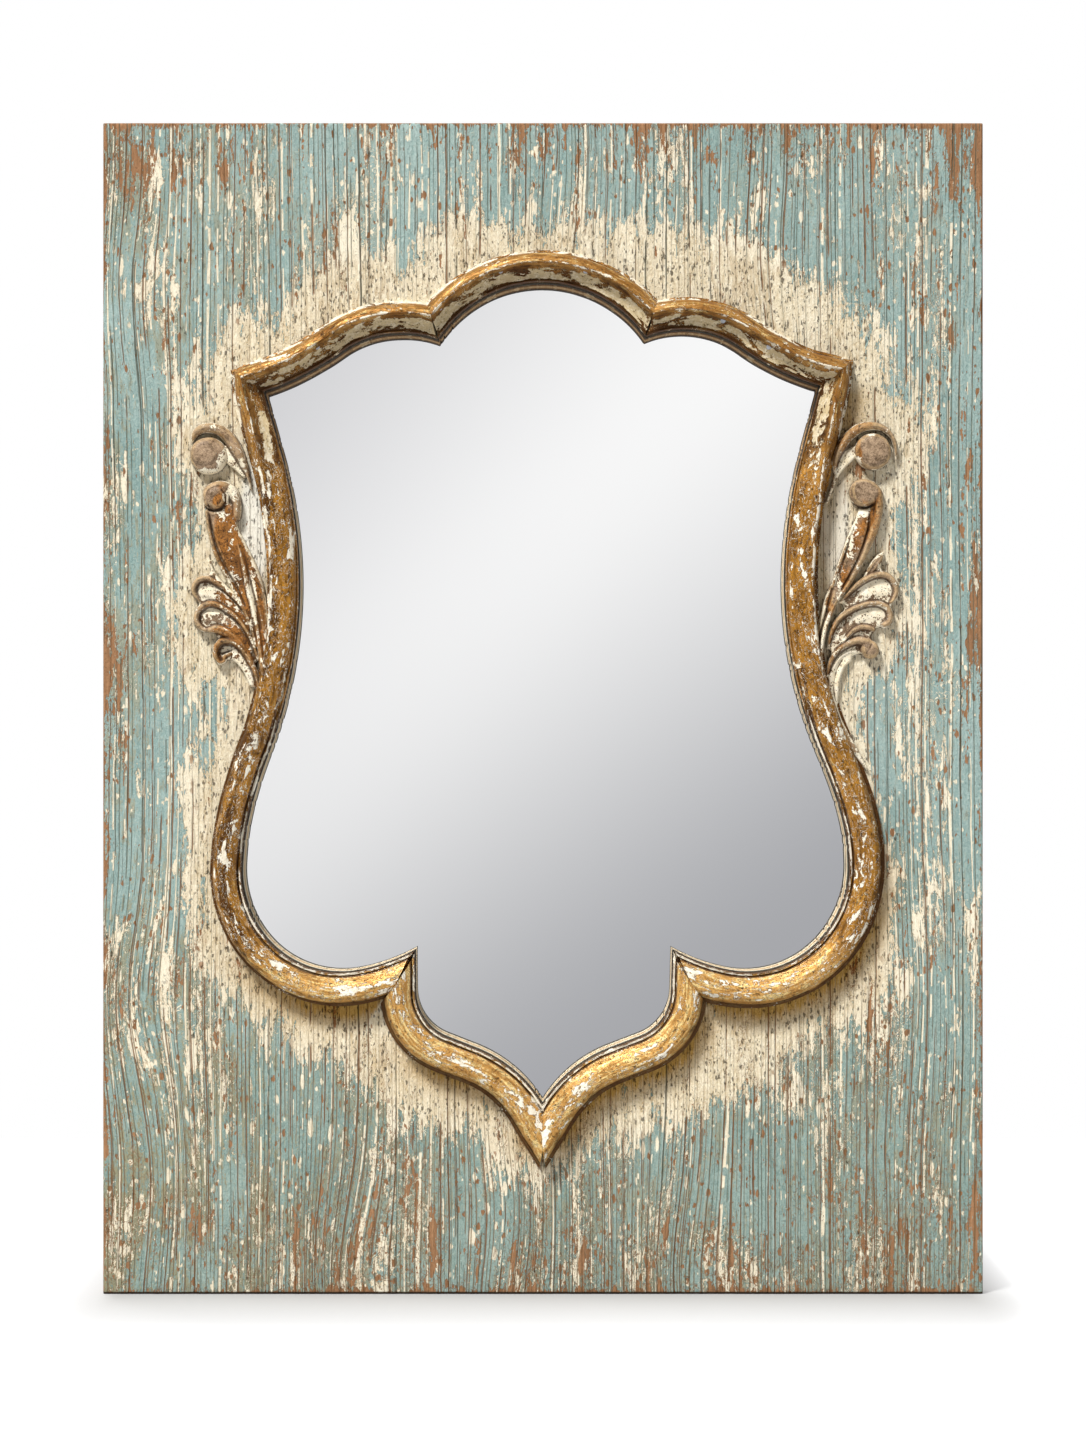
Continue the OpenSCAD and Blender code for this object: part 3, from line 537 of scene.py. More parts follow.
def board(i, z_low, z_high):
    """Board i between two heights: a grid of the face, walls with tongue and groove, a flat back.

    The face stands out by the raised grain, less a rounding of r - sqrt(r^2 - (r - e)^2) at a
    distance e under r from its edges. Grid places next to the shield's line are moved onto it.
    """
    x0, x1 = seams[i], seams[i + 1]
    first, final = i == 0, i == len(seams) - 2
    rx0, rx1 = (corner_round if first else seam_round), (corner_round if final else seam_round)
    at_foot, at_top = z_low == -panel_half_h, z_high == panel_half_h
    rz0, rz1 = corner_round * at_foot, corner_round * at_top
    x_lines = ruled(x0, x1, grain_step_x, rx0, rx1)
    z_lines = ruled(z_low, z_high, grain_step_z, rz0, rz1)
    x, z = np.meshgrid(x_lines, z_lines, indexing="ij")
    cell = np.array([grain_step_x, grain_step_z])
    inside = in_shield(x_lines, z_lines)
    rough, _ = distance_to(coarse_line, x, z)
    near = rough < snap_within
    _, k = distance_to(shield_line / cell, x[near] / cell[0], z[near] / cell[1])
    moved = shield_line[k]
    off_x, off_z = (moved[:, 0] - x[near]) / cell[0], (moved[:, 1] - z[near]) / cell[1]
    close = np.hypot(off_x, off_z) < snap_cells
    on_edge = (np.abs(x[near] - x0) < hair) | (np.abs(x[near] - x1) < hair)
    moved[on_edge, 0] = x[near][on_edge]
    snapped = np.zeros_like(inside)
    snapped[near] = close
    x[snapped], z[snapped] = moved[close, 0], moved[close, 1]
    hole = inside & ~snapped
    all_on = np.all([snapped[c] for c in corners], 0)
    some_inside = np.any([inside[c] for c in corners], 0)
    kept = ~np.any([hole[c] for c in corners], 0) & ~(all_on & some_inside)
    number = np.arange(x.size).reshape(x.shape)
    quads = np.stack([number[c][kept] for c in corners], 1)

    grain = grain_of(i, x, z)
    cream, bare = wear(x, z)
    face = face_y - rib_height * relief_of(grain, z) - sag * (mottle(x / 0.05, z / 0.11, 8) - 0.5)
    for e, r in ((x - x0, rx0), (x1 - x, rx1), (z - z_low, rz0), (z_high - z, rz1)):
        if r:
            inner = np.clip(r - e, 0, r)
            face = face + (r - np.sqrt(r * r - inner ** 2))

    edges = np.concatenate([quads[:, [k, (k + 1) % 4]] for k in range(4)])
    way = np.sort(edges, 1)
    _, back, count = np.unique(way[:, 0] * x.size + way[:, 1], return_inverse=True,
                               return_counts=True)
    rim = edges[count[back] == 1]
    rim_points = np.unique(rim)
    slot_of = np.zeros(x.size, int)
    slot_of[rim_points] = np.arange(len(rim_points))
    rx, rz = x.ravel()[rim_points], z.ravel()[rim_points]
    right = (np.abs(rx - x1) < hair) & (not final)
    left = (np.abs(rx - x0) < hair) & (not first)
    to_line, _ = distance_to(shield_line, rx, rz)
    reach = np.clip(to_line - setback, 0, tongue_depth) * (right | left)
    middle_y = (face_y + back_y) / 2
    rings = ((middle_y - tongue_half_t, 0), (middle_y - tongue_half_t, 1),
             (middle_y + tongue_half_t, 1), (middle_y + tongue_half_t, 0), (back_y, 0))
    places = [np.stack([x.ravel(), face.ravel(), z.ravel()], 1)]
    faces, before = [quads], rim
    for k, (y, out) in enumerate(rings):
        places.append(np.stack([rx + out * reach, np.full(len(rx), y), rz], 1))
        after = x.size + k * len(rim_points) + slot_of[rim]
        faces.append(np.stack([before[:, 1], before[:, 0], after[:, 0], after[:, 1]], 1))
        before = after
    places = np.concatenate(places)
    part = "" if at_foot and at_top else "_top" if at_top else "_bottom"
    name = f"board_{i + 1}{part}"
    piece, used = shell("painted_" + name, places, np.concatenate(faces))
    closed(piece, 50)
    source = np.concatenate([np.arange(x.size)] + [rim_points] * len(rings))[used]
    ring_no = np.concatenate([np.zeros(x.size), np.repeat(np.arange(1, 1 + len(rings)),
                                                          len(rim_points))])[used]
    fields = {"grain": grain, "cream": cream, "bare": bare, "gesso": spots(gessoed, x, z),
              "painted_shadow": painted_shadow_at(x, z)}
    fields = {key: value.ravel()[source] for key, value in fields.items()}
    fields["bare"] = np.where(ring_no >= 4, 1.2, fields["bare"] + 0.05 * ring_no)
    fields["raw"] = (ring_no >= 5).astype(float)
    cut, _ = distance_to(shield_line[::3], *places[used][:, [0, 2]].T)
    fields["cut"] = (cut < cut_within).astype(float)
    store(piece, fields)
    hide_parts(name)
    return piece


def vector(f, a, b, c):
    """One vector from three numbers."""
    return f.node("ShaderNodeCombineXYZ", None, {0: a, 1: b, 2: c})


def scaled(f, source, factors):
    """A vector with each of its parts multiplied by that part's factor."""
    return f.node("ShaderNodeVectorMath", {"operation": "MULTIPLY"}, {0: source, 1: factors})


def noise(f, source, scale, detail=2, rough=0.5, warp=0.0):
    """Noise round 0. The scale is its features a metre, one number or one for each axis."""
    if isinstance(scale, tuple):
        source, scale = scaled(f, source, scale), 1
    return f.node("ShaderNodeTexNoise", None, {
        "Vector": source, "Scale": scale, "Detail": detail, "Roughness": rough,
        "Distortion": warp}) - 0.5


def stored(f, *names):
    """The numbers that a mesh keeps at its points, by name."""
    return {name: f.node("ShaderNodeAttribute", {"attribute_name": name}, output="Fac")
            for name in names}


def painted_boards():
    """Teal over cream over brown wood. Thin lines follow the grain, patches of cream and of bare
    wood lie a little under the teal, and small specks of both are scattered over it."""
    f = Finish("painted_boards")
    place = f.place()
    x, y, z = f.parts(place)
    field = stored(f, "grain", "cream", "bare", "gesso", "painted_shadow", "raw", "cut")
    flow = vector(f, field["grain"], y, z)

    def chance(number, seed):
        """A random number from 0 to 1 for each whole number."""
        return f.node("ShaderNodeTexWhiteNoise", {"noise_dimensions": "2D"},
                      {"Vector": vector(f, number, seed, 0.0)})

    def specks(across, along, density, size, seed=0.0):
        """One round speck in a cell of a grid, where the cell's random number is under density."""
        moved = vector(f, field["grain"] + seed + bits * 0.005, 0.0, z + edge * 0.007)
        cells = f.node("ShaderNodeTexVoronoi", {"voronoi_dimensions": "3D"},
                       {"Vector": scaled(f, moved, (across, 1, along)), "Scale": 1})
        random = f.node("ShaderNodeSeparateColor", None, {0: cells.also("Color")})
        there = (density - random).rising(-0.01, 0.01)
        reach = (random.also(1) * 0.7 + 0.5) * size
        return there * (1 - (cells / reach).rising(0.75, 1))

    def lines(pitch, width, seed, wavy=1.0):
        """Lines along the grain, about pitch apart, each with its own place in its lane.

        Gives the share of line, the line's number, and how far to its right a place lies.
        """
        wave = noise(f, flow, (50, 0, 3)) * wavy + noise(f, flow, (240, 0, 34)) * 0.22
        lane = field["grain"] / pitch + wave + seed
        number = lane.math("FLOOR")
        aside = (lane - number - 0.5 - (chance(number, seed) - 0.5) * 0.5) * pitch
        wide = (0.5 + chance(number, seed + 3) + noise(f, flow, (300, 0, 60)) * 1.4) * width
        return 1 - (aside.math("ABSOLUTE") / wide).rising(0.6, 1.0), number, aside

    def pieces_of(number, seed, along, shift):
        """Where a line shows: stretches along it, longer with a higher shift."""
        gone = f.node("ShaderNodeTexNoise", {"noise_dimensions": "2D"}, {
            "Vector": vector(f, number * 7.31 + seed, z * along, 0.0), "Scale": 1, "Detail": 2,
            "Roughness": 0.6}) - 0.5
        return (gone + shift + (chance(number, seed + 7) - 0.5) * 0.4).rising(0, 0.03)

    broad = noise(f, flow, (24, 20, 10), 3, 0.55)
    patch = noise(f, flow, (115, 40, 19), 3, 0.58, 0.4)
    bits = noise(f, flow, (300, 80, 75), 3, 0.6, 0.7)
    edge = noise(f, flow, (620, 200, 260), 3, 0.65, 0.6)
    grit = noise(f, flow, (1300, 600, 1000), 2, 0.6)
    brush = noise(f, flow, (700, 120, 40), 3, 0.6)
    crinkle = noise(f, place, (380, 380, 300), 3, 0.68, 1.8)
    cloud = noise(f, place, (14, 14, 8), 3)

    halo = (field["cream"] - 0.35).rising(0.0, 0.4)
    low_down = z.rising(-0.05, -0.30)
    leftward = x.rising(-0.10, -0.26)
    worn = field["cream"] + patch * 1.55 + bits + edge * 0.45 + broad * 0.85
    cream = worn.rising(0.495, 0.515)
    outline = worn.rising(0.462, 0.485) * (1 - cream)
    thread = 1 - noise(f, flow, (210, 80, 120), 2, 0.5, 1.6).math("ABSOLUTE").rising(0.012, 0.022)
    thread_zone = (field["cream"] + broad * 1.4 + patch * 0.9 + edge * 0.5
                   + low_down * 0.05).rising(0.36, 0.40)
    cream = cream.math("MAXIMUM", thread * thread_zone)
    dot_zone = field["cream"] * 0.5 + broad * 0.5 + patch * 0.3 + low_down * 0.05
    for across, along, size, seed in ((240, 160, 0.34, 0.0), (170, 62, 0.30, 3.3),
                                      (400, 230, 0.36, 8.1), (140, 40, 0.26, 6.2)):
        cream = cream.math("MAXIMUM", specks(across, along, dot_zone - 0.01, size, seed))
    pale, pale_no, _ = lines(0.0075, 0.00066, 41, 1.6)
    pale = pale * pieces_of(pale_no, 41, 48, (field["cream"] - 0.30 + broad * 0.8) * 0.9)
    cream = cream.math("MAXIMUM", pale)

    squiggle = 1 - noise(f, flow, (260, 90, 120), 2, 0.5, 1.8).math("ABSOLUTE").rising(0.008, 0.016)
    bark = noise(f, flow, (140, 40, 19), 3, 0.6, 0.3)
    open_wood = field["bare"] + bark * 1.35 + bits * -0.8 + edge * 0.5 + broad * 0.3
    wood = open_wood.rising(0.495, 0.515)
    squiggle_zone = field["bare"] + low_down * 0.16 + bark * 0.8 + broad * 0.8 - 0.38
    wood = wood.math("MAXIMUM", squiggle * squiggle_zone.rising(0, 0.04))
    wood_zone = field["bare"] * 0.5 + broad * 0.5 - bits * 0.2 + low_down * 0.09 + 0.03
    for across, along, size, seed in ((260, 110, 0.32, 7.7), (460, 200, 0.36, 1.9)):
        dots = specks(across, along, wood_zone, size, seed)
        wood = wood.math("MAXIMUM", dots * (1 - halo * 0.85))

    check, check_no, check_aside = lines(0.0074, 0.00042, 5)
    shown = pieces_of(check_no, 5, 9, 0.10 - halo * 0.17)
    check = check * shown
    brown_check = (chance(check_no, 71) + field["bare"] * 0.8 - 0.50 + broad + bark * 0.6
                   + low_down * 0.3).rising(0, 0.2)
    faint, faint_no, _ = lines(0.0029, 0.00031, 23)
    faint = faint * pieces_of(faint_no, 23, 14, low_down * 0.14 + 0.04)
    brown_faint = (chance(faint_no, 75) + low_down * 0.4 + broad - 0.6).rising(0, 0.2)
    # Painted highlight: a pale strip just beside each dark line, also raised a little in the relief
    lip_highlight = (1 - ((check_aside + 0.0009).math("ABSOLUTE") / 0.0004).rising(0.4, 1)) * shown
    pit_zone = (halo * 0.42 + (broad + patch * 0.7) * 0.7 + 0.03) * (0.4 + halo)
    pits = specks(560, 240, pit_zone, 0.34, 5.1)
    gap = (edge + bits * 0.55 + brush * 0.25 + halo * 0.02).rising(0.17, 0.185)
    gap = gap * (0.45 + halo * 0.55)

    share = 0.52 + cloud * 1.2 + brush * 1.2 + crinkle * 2.2
    teal = f.blend(colour(126, 153, 150), colour(170, 191, 187), share)
    teal = f.blend(teal, f.blend(colour(115, 140, 134), colour(161, 180, 173), share), low_down)
    dull = (broad * 1.3 + bits * 1.4 + brush * 0.9 + crinkle + low_down * 0.08
            + leftward * 0.08).rising(0, 0.28)
    teal = f.blend(teal, colour(148, 140, 108), dull * (low_down * 0.24 + leftward * 0.24 + 0.34))
    share = (0.58 - low_down * 0.16 - leftward * 0.12 + patch * 1.1 + brush * 0.7
             + crinkle * 1.8 + grit * 0.8)
    under = f.blend(colour(208, 190, 154), colour(248, 240, 218), share)
    under = f.blend(under, colour(242, 235, 214), (1 - halo) * 0.5)
    rim = (worn * -1 + 0.57).rising(0, 0.07) * worn.rising(0.47, 0.495)
    under = f.blend(under, colour(186, 152, 102), rim * 0.55)
    stain = (broad * 1.4 + bits * 1.8 + patch * 0.8 - 0.06).rising(0, 0.3) * halo
    under = f.blend(under, colour(184, 158, 116), stain * 0.5)
    under = f.blend(under, colour(236, 234, 224), field["gesso"].rising(0.25, 0.6) * 0.85)
    timber = f.blend(colour(122, 88, 60), colour(172, 130, 95), 0.5 + bark + brush * 1.8)
    shade = f.blend(teal, colour(96, 84, 56), outline * 0.5)
    shade = f.blend(shade, under, cream)
    # Painted highlight beside the dark lines
    shade = f.blend(shade, colour(198, 208, 198), lip_highlight * 0.30)
    shade = f.blend(shade, timber, wood)
    faint_shade = f.blend(colour(96, 98, 82), colour(126, 98, 66), brown_faint)
    shade = f.blend(shade, faint_shade, faint * (1 - halo * 0.6) * 0.72)
    line_shade = f.blend(colour(84, 86, 72), colour(128, 90, 58), brown_check)
    shade = f.blend(shade, line_shade, check * 0.85)
    shade = f.blend(shade, colour(62, 54, 40), pits.math("MAXIMUM", gap) * 0.75)
    # Painted shadow: the boards turn warm brown under the moulding's lower side, away from the lamp
    darkening = field["painted_shadow"] * (1.15 + brush * 1.2 + patch * 0.8)
    shade = f.node("ShaderNodeMix", {"data_type": "RGBA", "blend_type": "MULTIPLY"},
                   {0: darkening, 6: shade, 7: (0.50, 0.33, 0.11, 1)}, 2)
    # The shield's cut wall, cream with painted shade: dark brown on the upper walls, which face
    # down, and dark along its front 7 mm
    cut_wall_and_shade = f.blend(colour(206, 198, 176), colour(98, 68, 36), z.rising(0.12, 0.19))
    cut_wall_and_shade = f.blend(cut_wall_and_shade, colour(206, 192, 158), (patch + bits).rising(0.1, 0.2) * 0.7)
    cut_wall_and_shade = f.blend(colour(58, 52, 42), cut_wall_and_shade, (y - face_y).rising(0.007, 0.011))
    shade = f.blend(shade, cut_wall_and_shade, field["cut"])
    # Painted shade: a dark band along the panel's bottom 2 mm, where its rounded foot edge is in
    # shade
    shade = f.blend(shade, colour(52, 40, 28), z.rising(foot_z + 0.0022, foot_z + 0.0012))
    plank = noise(f, flow, (500, 30, 6), 4, 0.6)
    raw = f.blend(colour(188, 152, 108), colour(214, 184, 142), 0.5 + plank * 2.6)
    shade = f.blend(shade, raw, field["raw"])

    relief = (cream * -0.00022 + wood * -0.00030 + check * -0.0008 + faint * -0.00032
              + pits * -0.0004 + gap * -0.0002 + lip_highlight * 0.0002 + crinkle * 0.0011
              + brush * 0.0003 + grit * 0.0001)
    rough = 0.62 + cream * 0.1 + wood * 0.16
    return surface(f, relief, Base_Color=shade, Roughness=rough, Specular_IOR_Level=0.12)


foot_z = -panel_half_h
board_finish = painted_boards()
bowl_widest_z = float(half_line[half_line[:, 0].argmax(), 1])
for i, cuts in enumerate(((), (bowl_widest_z,), (0,), (0,), (bowl_widest_z,), ())):
    levels = (-panel_half_h, *cuts, panel_half_h)
    for z_low, z_high in zip(levels, levels[1:]):
        board(i, z_low, z_high).data.materials.append(board_finish)


# The moulding: nine carved lengths of softwood, gessoed and gilded, mitred at the cusps and
# corners and butted at the sides, glued and screwed to the boards from behind. The upper
# lengths have a hollow inside their ridge, and the lower ones are round, with a thin lip.
moulding_w, moulding_h = 0.0215, 0.016
sunk = 0.0006
ring_step = 0.0013
wider_by, left_slimmer = 0.0028, 0.0005
waves, dented, uneven = 0.0009, 0.0016, 0.0006
lip_drawn = ((0, 0.0035, 0.012), (0.0005, 0.0017, 0))


def bowed(a, b, hollow, count):
    """A quarter ellipse from a to b: u follows sin t and h 1 - cos t, or the other way round."""
    t = np.linspace(0, math.pi / 2, count + 1)[1:]
    u_share, h_share = (np.sin(t), 1 - np.cos(t)) if hollow else (1 - np.cos(t), np.sin(t))
    return np.stack([a[0] + (b[0] - a[0]) * u_share, a[1] + (b[1] - a[1]) * h_share], 1)


def section_of(lip_u, lip_h, groove, bed, crest_u, hollow, foot):
    """Corners of a section, inner edge first: wall, lip, groove, rise to the crest, fall, foot."""
    top, fall = (crest_u, moulding_h), crest_u + 0.0005
    foot_u = max(0.0194, fall + 0.001)
    return np.concatenate([
        [(0, -sunk), (0, lip_h * 0.45), (0.0002, lip_h * 0.85)],
        bowed((0.0002, lip_h * 0.85), (0.0010, lip_h), False, 3),
        [(lip_u * 0.6, lip_h - 0.0002), (lip_u * 0.85, lip_h), (lip_u, lip_h - 0.0001)],
        [(lip_u + 0.0003, groove), (lip_u + 0.0007, groove), (lip_u + 0.0010, bed)],
        bowed((lip_u + 0.0010, bed), top, hollow, 10),
        [(fall, moulding_h - 0.00008)],
        bowed((foot_u, foot), (fall, moulding_h - 0.00008), False, 9)[-2::-1],
        [(foot_u, foot), (foot_u + 0.0002, foot - 0.0012), (foot_u + 0.0010, foot - 0.0014),
         (moulding_w, foot - 0.0022), (moulding_w, -sunk)]])


upper_section = section_of(0.0018, 0.0060, 0.0056, 0.0062, 0.0122, True, 0.0052)
waist_section = section_of(0.0012, 0.0066, 0.0060, 0.0068, 0.0172, False, 0.0052)
joint_section = section_of(0.0022, 0.0062, 0.0050, 0.0064, 0.0165, False, 0.0046)
lower_section = section_of(0.0026, 0.0062, 0.0044, 0.0060, 0.0142, False, 0.0044)


def mitre_of(first, second):
    """The heading halfway between two headings, turned by a quarter: the line of their mitre."""
    return (math.degrees(first[-1, 2]) + math.degrees(second[0, 2])) / 2 + 90


def trimmed(rows, u, ends):
    """For each u, where its line along the path meets the mitre at either end.

    Signed distances to a mitre through (x, z) with heading m are (p - x) sin m - (q - z) cos m.
    """
    run = 0.05
    before, after = np.linspace(-run, 0, 100)[:-1, None], np.linspace(0, run, 100)[1:, None]
    head, tail = rows[0], rows[-1]
    ray = [np.concatenate([r[0] + t * np.cos(r[2]), r[1] + t * np.sin(r[2]),
                           np.full_like(t, r[2]), r[3] + t], 1)
           for r, t in ((head, before), (tail, after))]
    rows = np.concatenate([ray[0], rows, ray[1]])
    x = rows[:, :1] - u * np.sin(rows[:, 2:3])
    z = rows[:, 1:2] + u * np.cos(rows[:, 2:3])
    limits = []
    for at, mitre, k in ((head, ends[0], 0), (tail, ends[1], -1)):
        if mitre is None:
            limits.append(np.full(len(u), at[3]))
            continue
        m = math.radians(mitre)
        off = (x - at[0]) * math.sin(m) - (z - at[1]) * math.cos(m)
        middle = off[len(off) // 2, 0]
        kept = off * np.sign(middle) > 0
        i = kept.argmax(0) - 1 if k == 0 else len(kept) - 1 - kept[::-1].argmax(0)
        i = np.clip(i, 0, len(rows) - 2)
        c = np.arange(len(u))
        share = off[i, c] / (off[i, c] - off[i + 1, c])
        limits.append(rows[i, 3] + share * (rows[i + 1, 3] - rows[i, 3]))
    return rows, limits


def moulding(name, rows, sections, ends, mirrored=False):
    """A section carried along a path: x = px - u sin h, z = pz + u cos h, y = face - height.

    sections are (length along the path, section) pairs, blended between, and ends the mitres'
    headings. Wear moves each place in or out by a smooth random amount. The lower lengths are
    then drawn out past their crest, and every lip is drawn in over the glass.
    """
    u_all = sections[0][1][:, 0]
    count = max(4, round(rows[-1, 3] / ring_step))
    t = np.linspace(0, 1, count + 1)[:, None]
    stations = np.array([s for s, _ in sections])
    shapes = np.stack([shape for _, shape in sections])

    def shape_at(s):
        """The section's corners at each length s along the path."""
        place = np.interp(s, stations, np.arange(len(stations)))
        i = np.minimum(place.astype(int), max(0, len(stations) - 2))
        share = eased(place - i)[..., None]
        c = np.broadcast_to(np.arange(shapes.shape[1]), s.shape)
        later = shapes[np.minimum(i + 1, len(stations) - 1), c]
        return shapes[i, c] * (1 - share) + later * share

    u = np.broadcast_to(u_all, (1, len(u_all)))
    first = shape_at(np.zeros_like(u))[0, :, 0] + setback
    final = shape_at(np.full_like(u, rows[-1, 3]))[0, :, 0] + setback
    long_rows, (low, _) = trimmed(rows, first, ends)
    _, (_, high) = trimmed(rows, final, ends)
    s = low + (high - low) * t
    shape = shape_at(np.clip(s, 0, rows[-1, 3]))
    u, h = shape[..., 0] + setback, shape[..., 1]
    seed = sum(map(ord, name))
    wob = mottle(s / 0.022 + seed, u / 0.009, 21) - 0.5
    dents = np.clip(mottle(s / 0.0062 + seed, u / 0.0035, 22) - 0.62, 0, 1)
    up = np.clip(h / 0.004, 0, 1)
    h = h + up * (waves * wob - dented * dents)
    u = u + up * uneven * (mottle(s / 0.016 + seed, u / 0.006, 23) - 0.5)
    lows = {id(upper_section): 0, id(waist_section): 0.3, id(joint_section): 0.4}
    lower = np.interp(s, stations, [lows.get(id(k), 1) for _, k in sections])
    crest = np.interp(s, stations, [k[k[:, 1].argmax(), 0] for _, k in sections])
    across = u - setback - crest
    px, pz, heading = (np.interp(s, long_rows[:, 3], long_rows[:, k]) for k in range(3))
    wider = wider_by - (wider_by + left_slimmer) * mirrored * eased((pz + 0.195) / 0.03)
    u = u + wider * lower * eased(across / 0.009)
    u = u - np.interp(across + crest, *lip_drawn)
    x, z = px - u * np.sin(heading), pz + u * np.cos(heading)
    if mirrored:
        x = -x
    x, z = as_cut(x, z)
    places = np.stack([x, face_y - h, z], -1).reshape(-1, 3)
    m = len(u_all)
    i, j = np.meshgrid(np.arange(count), np.arange(m), indexing="ij")
    a, b = (i * m + j).ravel(), (i * m + (j + 1) % m).ravel()
    faces = np.stack([a, b, b + m, a + m], 1)
    if mirrored:
        faces = faces[:, ::-1]
    piece, _ = shell("gilded_" + name, places, faces)
    closed(piece, 48)
    store(piece, {"along": s + seed * 0.37, "across": across, "rise": h, "lower": lower})
    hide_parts(name)
    return piece


def gilding():
    """Worn gold over gesso: glaze in the hollows, painted shade away from the lamp, gesso where
    rubbed.
    """
    f = Finish("gilding")
    place = f.place()
    x, z = f.parts(place, (0, 2))
    along, across, rise, lower = stored(f, "along", "across", "rise", "lower").values()
    flow = vector(f, along, across, 0.0)

    def band(middle, width):
        """1 along a line that far outside the crest, 0 past its width."""
        return 1 - (across - middle).math("ABSOLUTE").rising(width * 0.5, width)

    streak = noise(f, flow, (50, 600, 1), 3, 0.6)
    broad = noise(f, flow, (24, 90, 1), 3, 0.55)
    patch = noise(f, flow, (60, 190, 1), 3, 0.6, 0.6)
    chip = noise(f, flow, (210, 420, 1), 3, 0.6, 0.8)
    grit = noise(f, place, 1000, 2, 0.6)
    speck = noise(f, place, 480, 3, 0.7)
    etch = noise(f, place, 330, 1, 0.5, 1.6).math("ABSOLUTE")
    upper = 1 - lower.rising(0.0, 0.28)
    waist = (1 - upper) * (1 - lower.rising(0.32, 0.9))
    flank = (1 - upper) * z.rising(-0.190, -0.150)
    left_side = x.rising(-0.19, -0.20) * z.rising(0.222, 0.208)
    inner = (0 - across).rising(0.0, 0.002)
    tendency = (0.17 + waist * (band(0.0008, 0.0016) * 0.26 + 0.05)
                + upper * (band(-0.0060, 0.0042) * 0.44 + band(0.0001, 0.0008) * 0.26
                           + band(0.0085, 0.0020) * 0.28)
                + lower * (band(-0.0128, 0.0012) * 0.42 + band(-0.0030, 0.0060) * 0.15
                           + band(0.0030, 0.0012) * 0.12 - across.rising(0.003, 0.006) * 0.16))
    tendency = tendency - left_side * upper * band(-0.0060, 0.0042) * 0.26
    worn = tendency + broad * 0.8 + patch * 1.7 + chip + streak * 0.3 + grit * 0.25
    chalk = worn.rising(0.48, 0.505)
    rim = worn.rising(0.38, 0.47) * (1 - chalk)
    vein = 1 - noise(f, flow, (150, 330, 1), 2, 0.5, 1.5).math("ABSOLUTE").rising(0.006, 0.016)
    vein_zone = patch + chip * 0.5 + tendency * 0.5 + waist * 0.13 + flank * 0.10
    chalk = chalk.math("MAXIMUM", vein * vein_zone.rising(0.10, 0.16))
    # Painted shade on faces turned from the lamp: the upper lengths' inner side, the lower lengths'
    # outer side and their innermost edge by the glass; on the flanks, a darker tone round the crest
    shadowed = (upper * (inner * 0.45 + band(-0.0105, 0.003) * 0.30)
                + lower * (band(-0.0108, 0.0010) * 1.1 + across.rising(0.0015, 0.0085) * 0.85
                           + band(-0.0141, 0.0008))
                + flank * (band(-0.0030, 0.0050) * 0.22 + across.rising(-0.001, 0.004) * 0.22
                           + (x * -1).rising(0, 0.01) * band(-0.0010, 0.0055) * 0.30))
    # Darkening: brown glaze in the low places and along the foot, with the painted shade above and
    # random streaks
    darkening = (shadowed + (rise * -160 + 0.75).rising(0, 0.6) * 0.7 + band(0.0072, 0.0007) * 0.6
             + streak * 1.2 - patch * 1.3 + broad * 0.9
             + (speck * 1.6 + chip * 1.2) * flank).rising(0.20, 0.75)
    gold = f.blend(colour(138, 92, 38), colour(222, 172, 98),
                   0.5 + streak * 1.6 + patch * 1.2 + lower * 0.22 - upper * 0.2)
    brown = f.blend(colour(86, 54, 14), colour(212, 148, 46),
                    0.50 + streak * 1.4 + patch * 1.5 + chip * 0.9)
    gold = f.blend(gold, brown, waist.math("MAXIMUM", flank) * 0.85)
    # Painted highlight: pale gold streaks and flecks, more on the lower lengths, less on the waist
    # and flanks
    pale_gold_highlight = streak + chip * 0.7 + speck * 0.5 + lower * 0.09 - waist * 0.04 - flank * 0.13
    gold = f.blend(gold, colour(252, 228, 160), pale_gold_highlight.rising(0.08, 0.20) * 0.7)
    # Brown glaze and painted shade
    gold = f.blend(gold, colour(66, 38, 12), darkening * 0.92)
    etched = (1 - etch.rising(0.012, 0.03)) * (patch * -1.5 + lower * 0.35 + 0.2).rising(0, 0.2)
    gold = f.blend(gold, colour(112, 70, 30), etched * 0.6)
    nick = (noise(f, flow, (260, 520, 1), 2, 0.6) + patch * -0.2).rising(0.15, 0.18)
    nick = nick.math("MAXIMUM", (speck + patch * -0.25).rising(0.12, 0.15) * 0.8)
    gold = f.blend(gold, colour(62, 38, 18), nick * 0.8)
    # The gesso is darker on the upper lengths' inner side: painted shade where that face turns down
    # from the lamp
    gesso = f.blend(colour(206, 186, 146), colour(250, 244, 228),
                    0.62 + chip * 2 + grit * 1.2 + lower * 0.15 - upper * inner * 0.6)
    gold = f.blend(gold, colour(70, 42, 18), rim * 0.75)
    shade = f.blend(gold, gesso, chalk)
    # Painted shade: dark brown specks on the upper lengths' downward inner side
    shade = f.blend(shade, colour(84, 58, 30), speck.rising(0.10, 0.16) * upper * inner * 0.8)
    relief = (chalk * -0.00026 + nick * -0.0004 + streak * 0.00026 + chip * 0.0003
              + grit * 0.00012 + speck * 0.00020 + vein * -0.0001 + etched * -0.0002)
    rough = 0.40 + chalk * 0.25 + darkening * 0.12 + streak * 0.2
    metal = (1 - chalk) * (0.30 - darkening * 0.27)
    return surface(f, relief, Base_Color=shade, Roughness=rough, Metallic=metal,
                   Specular_IOR_Level=0.15)


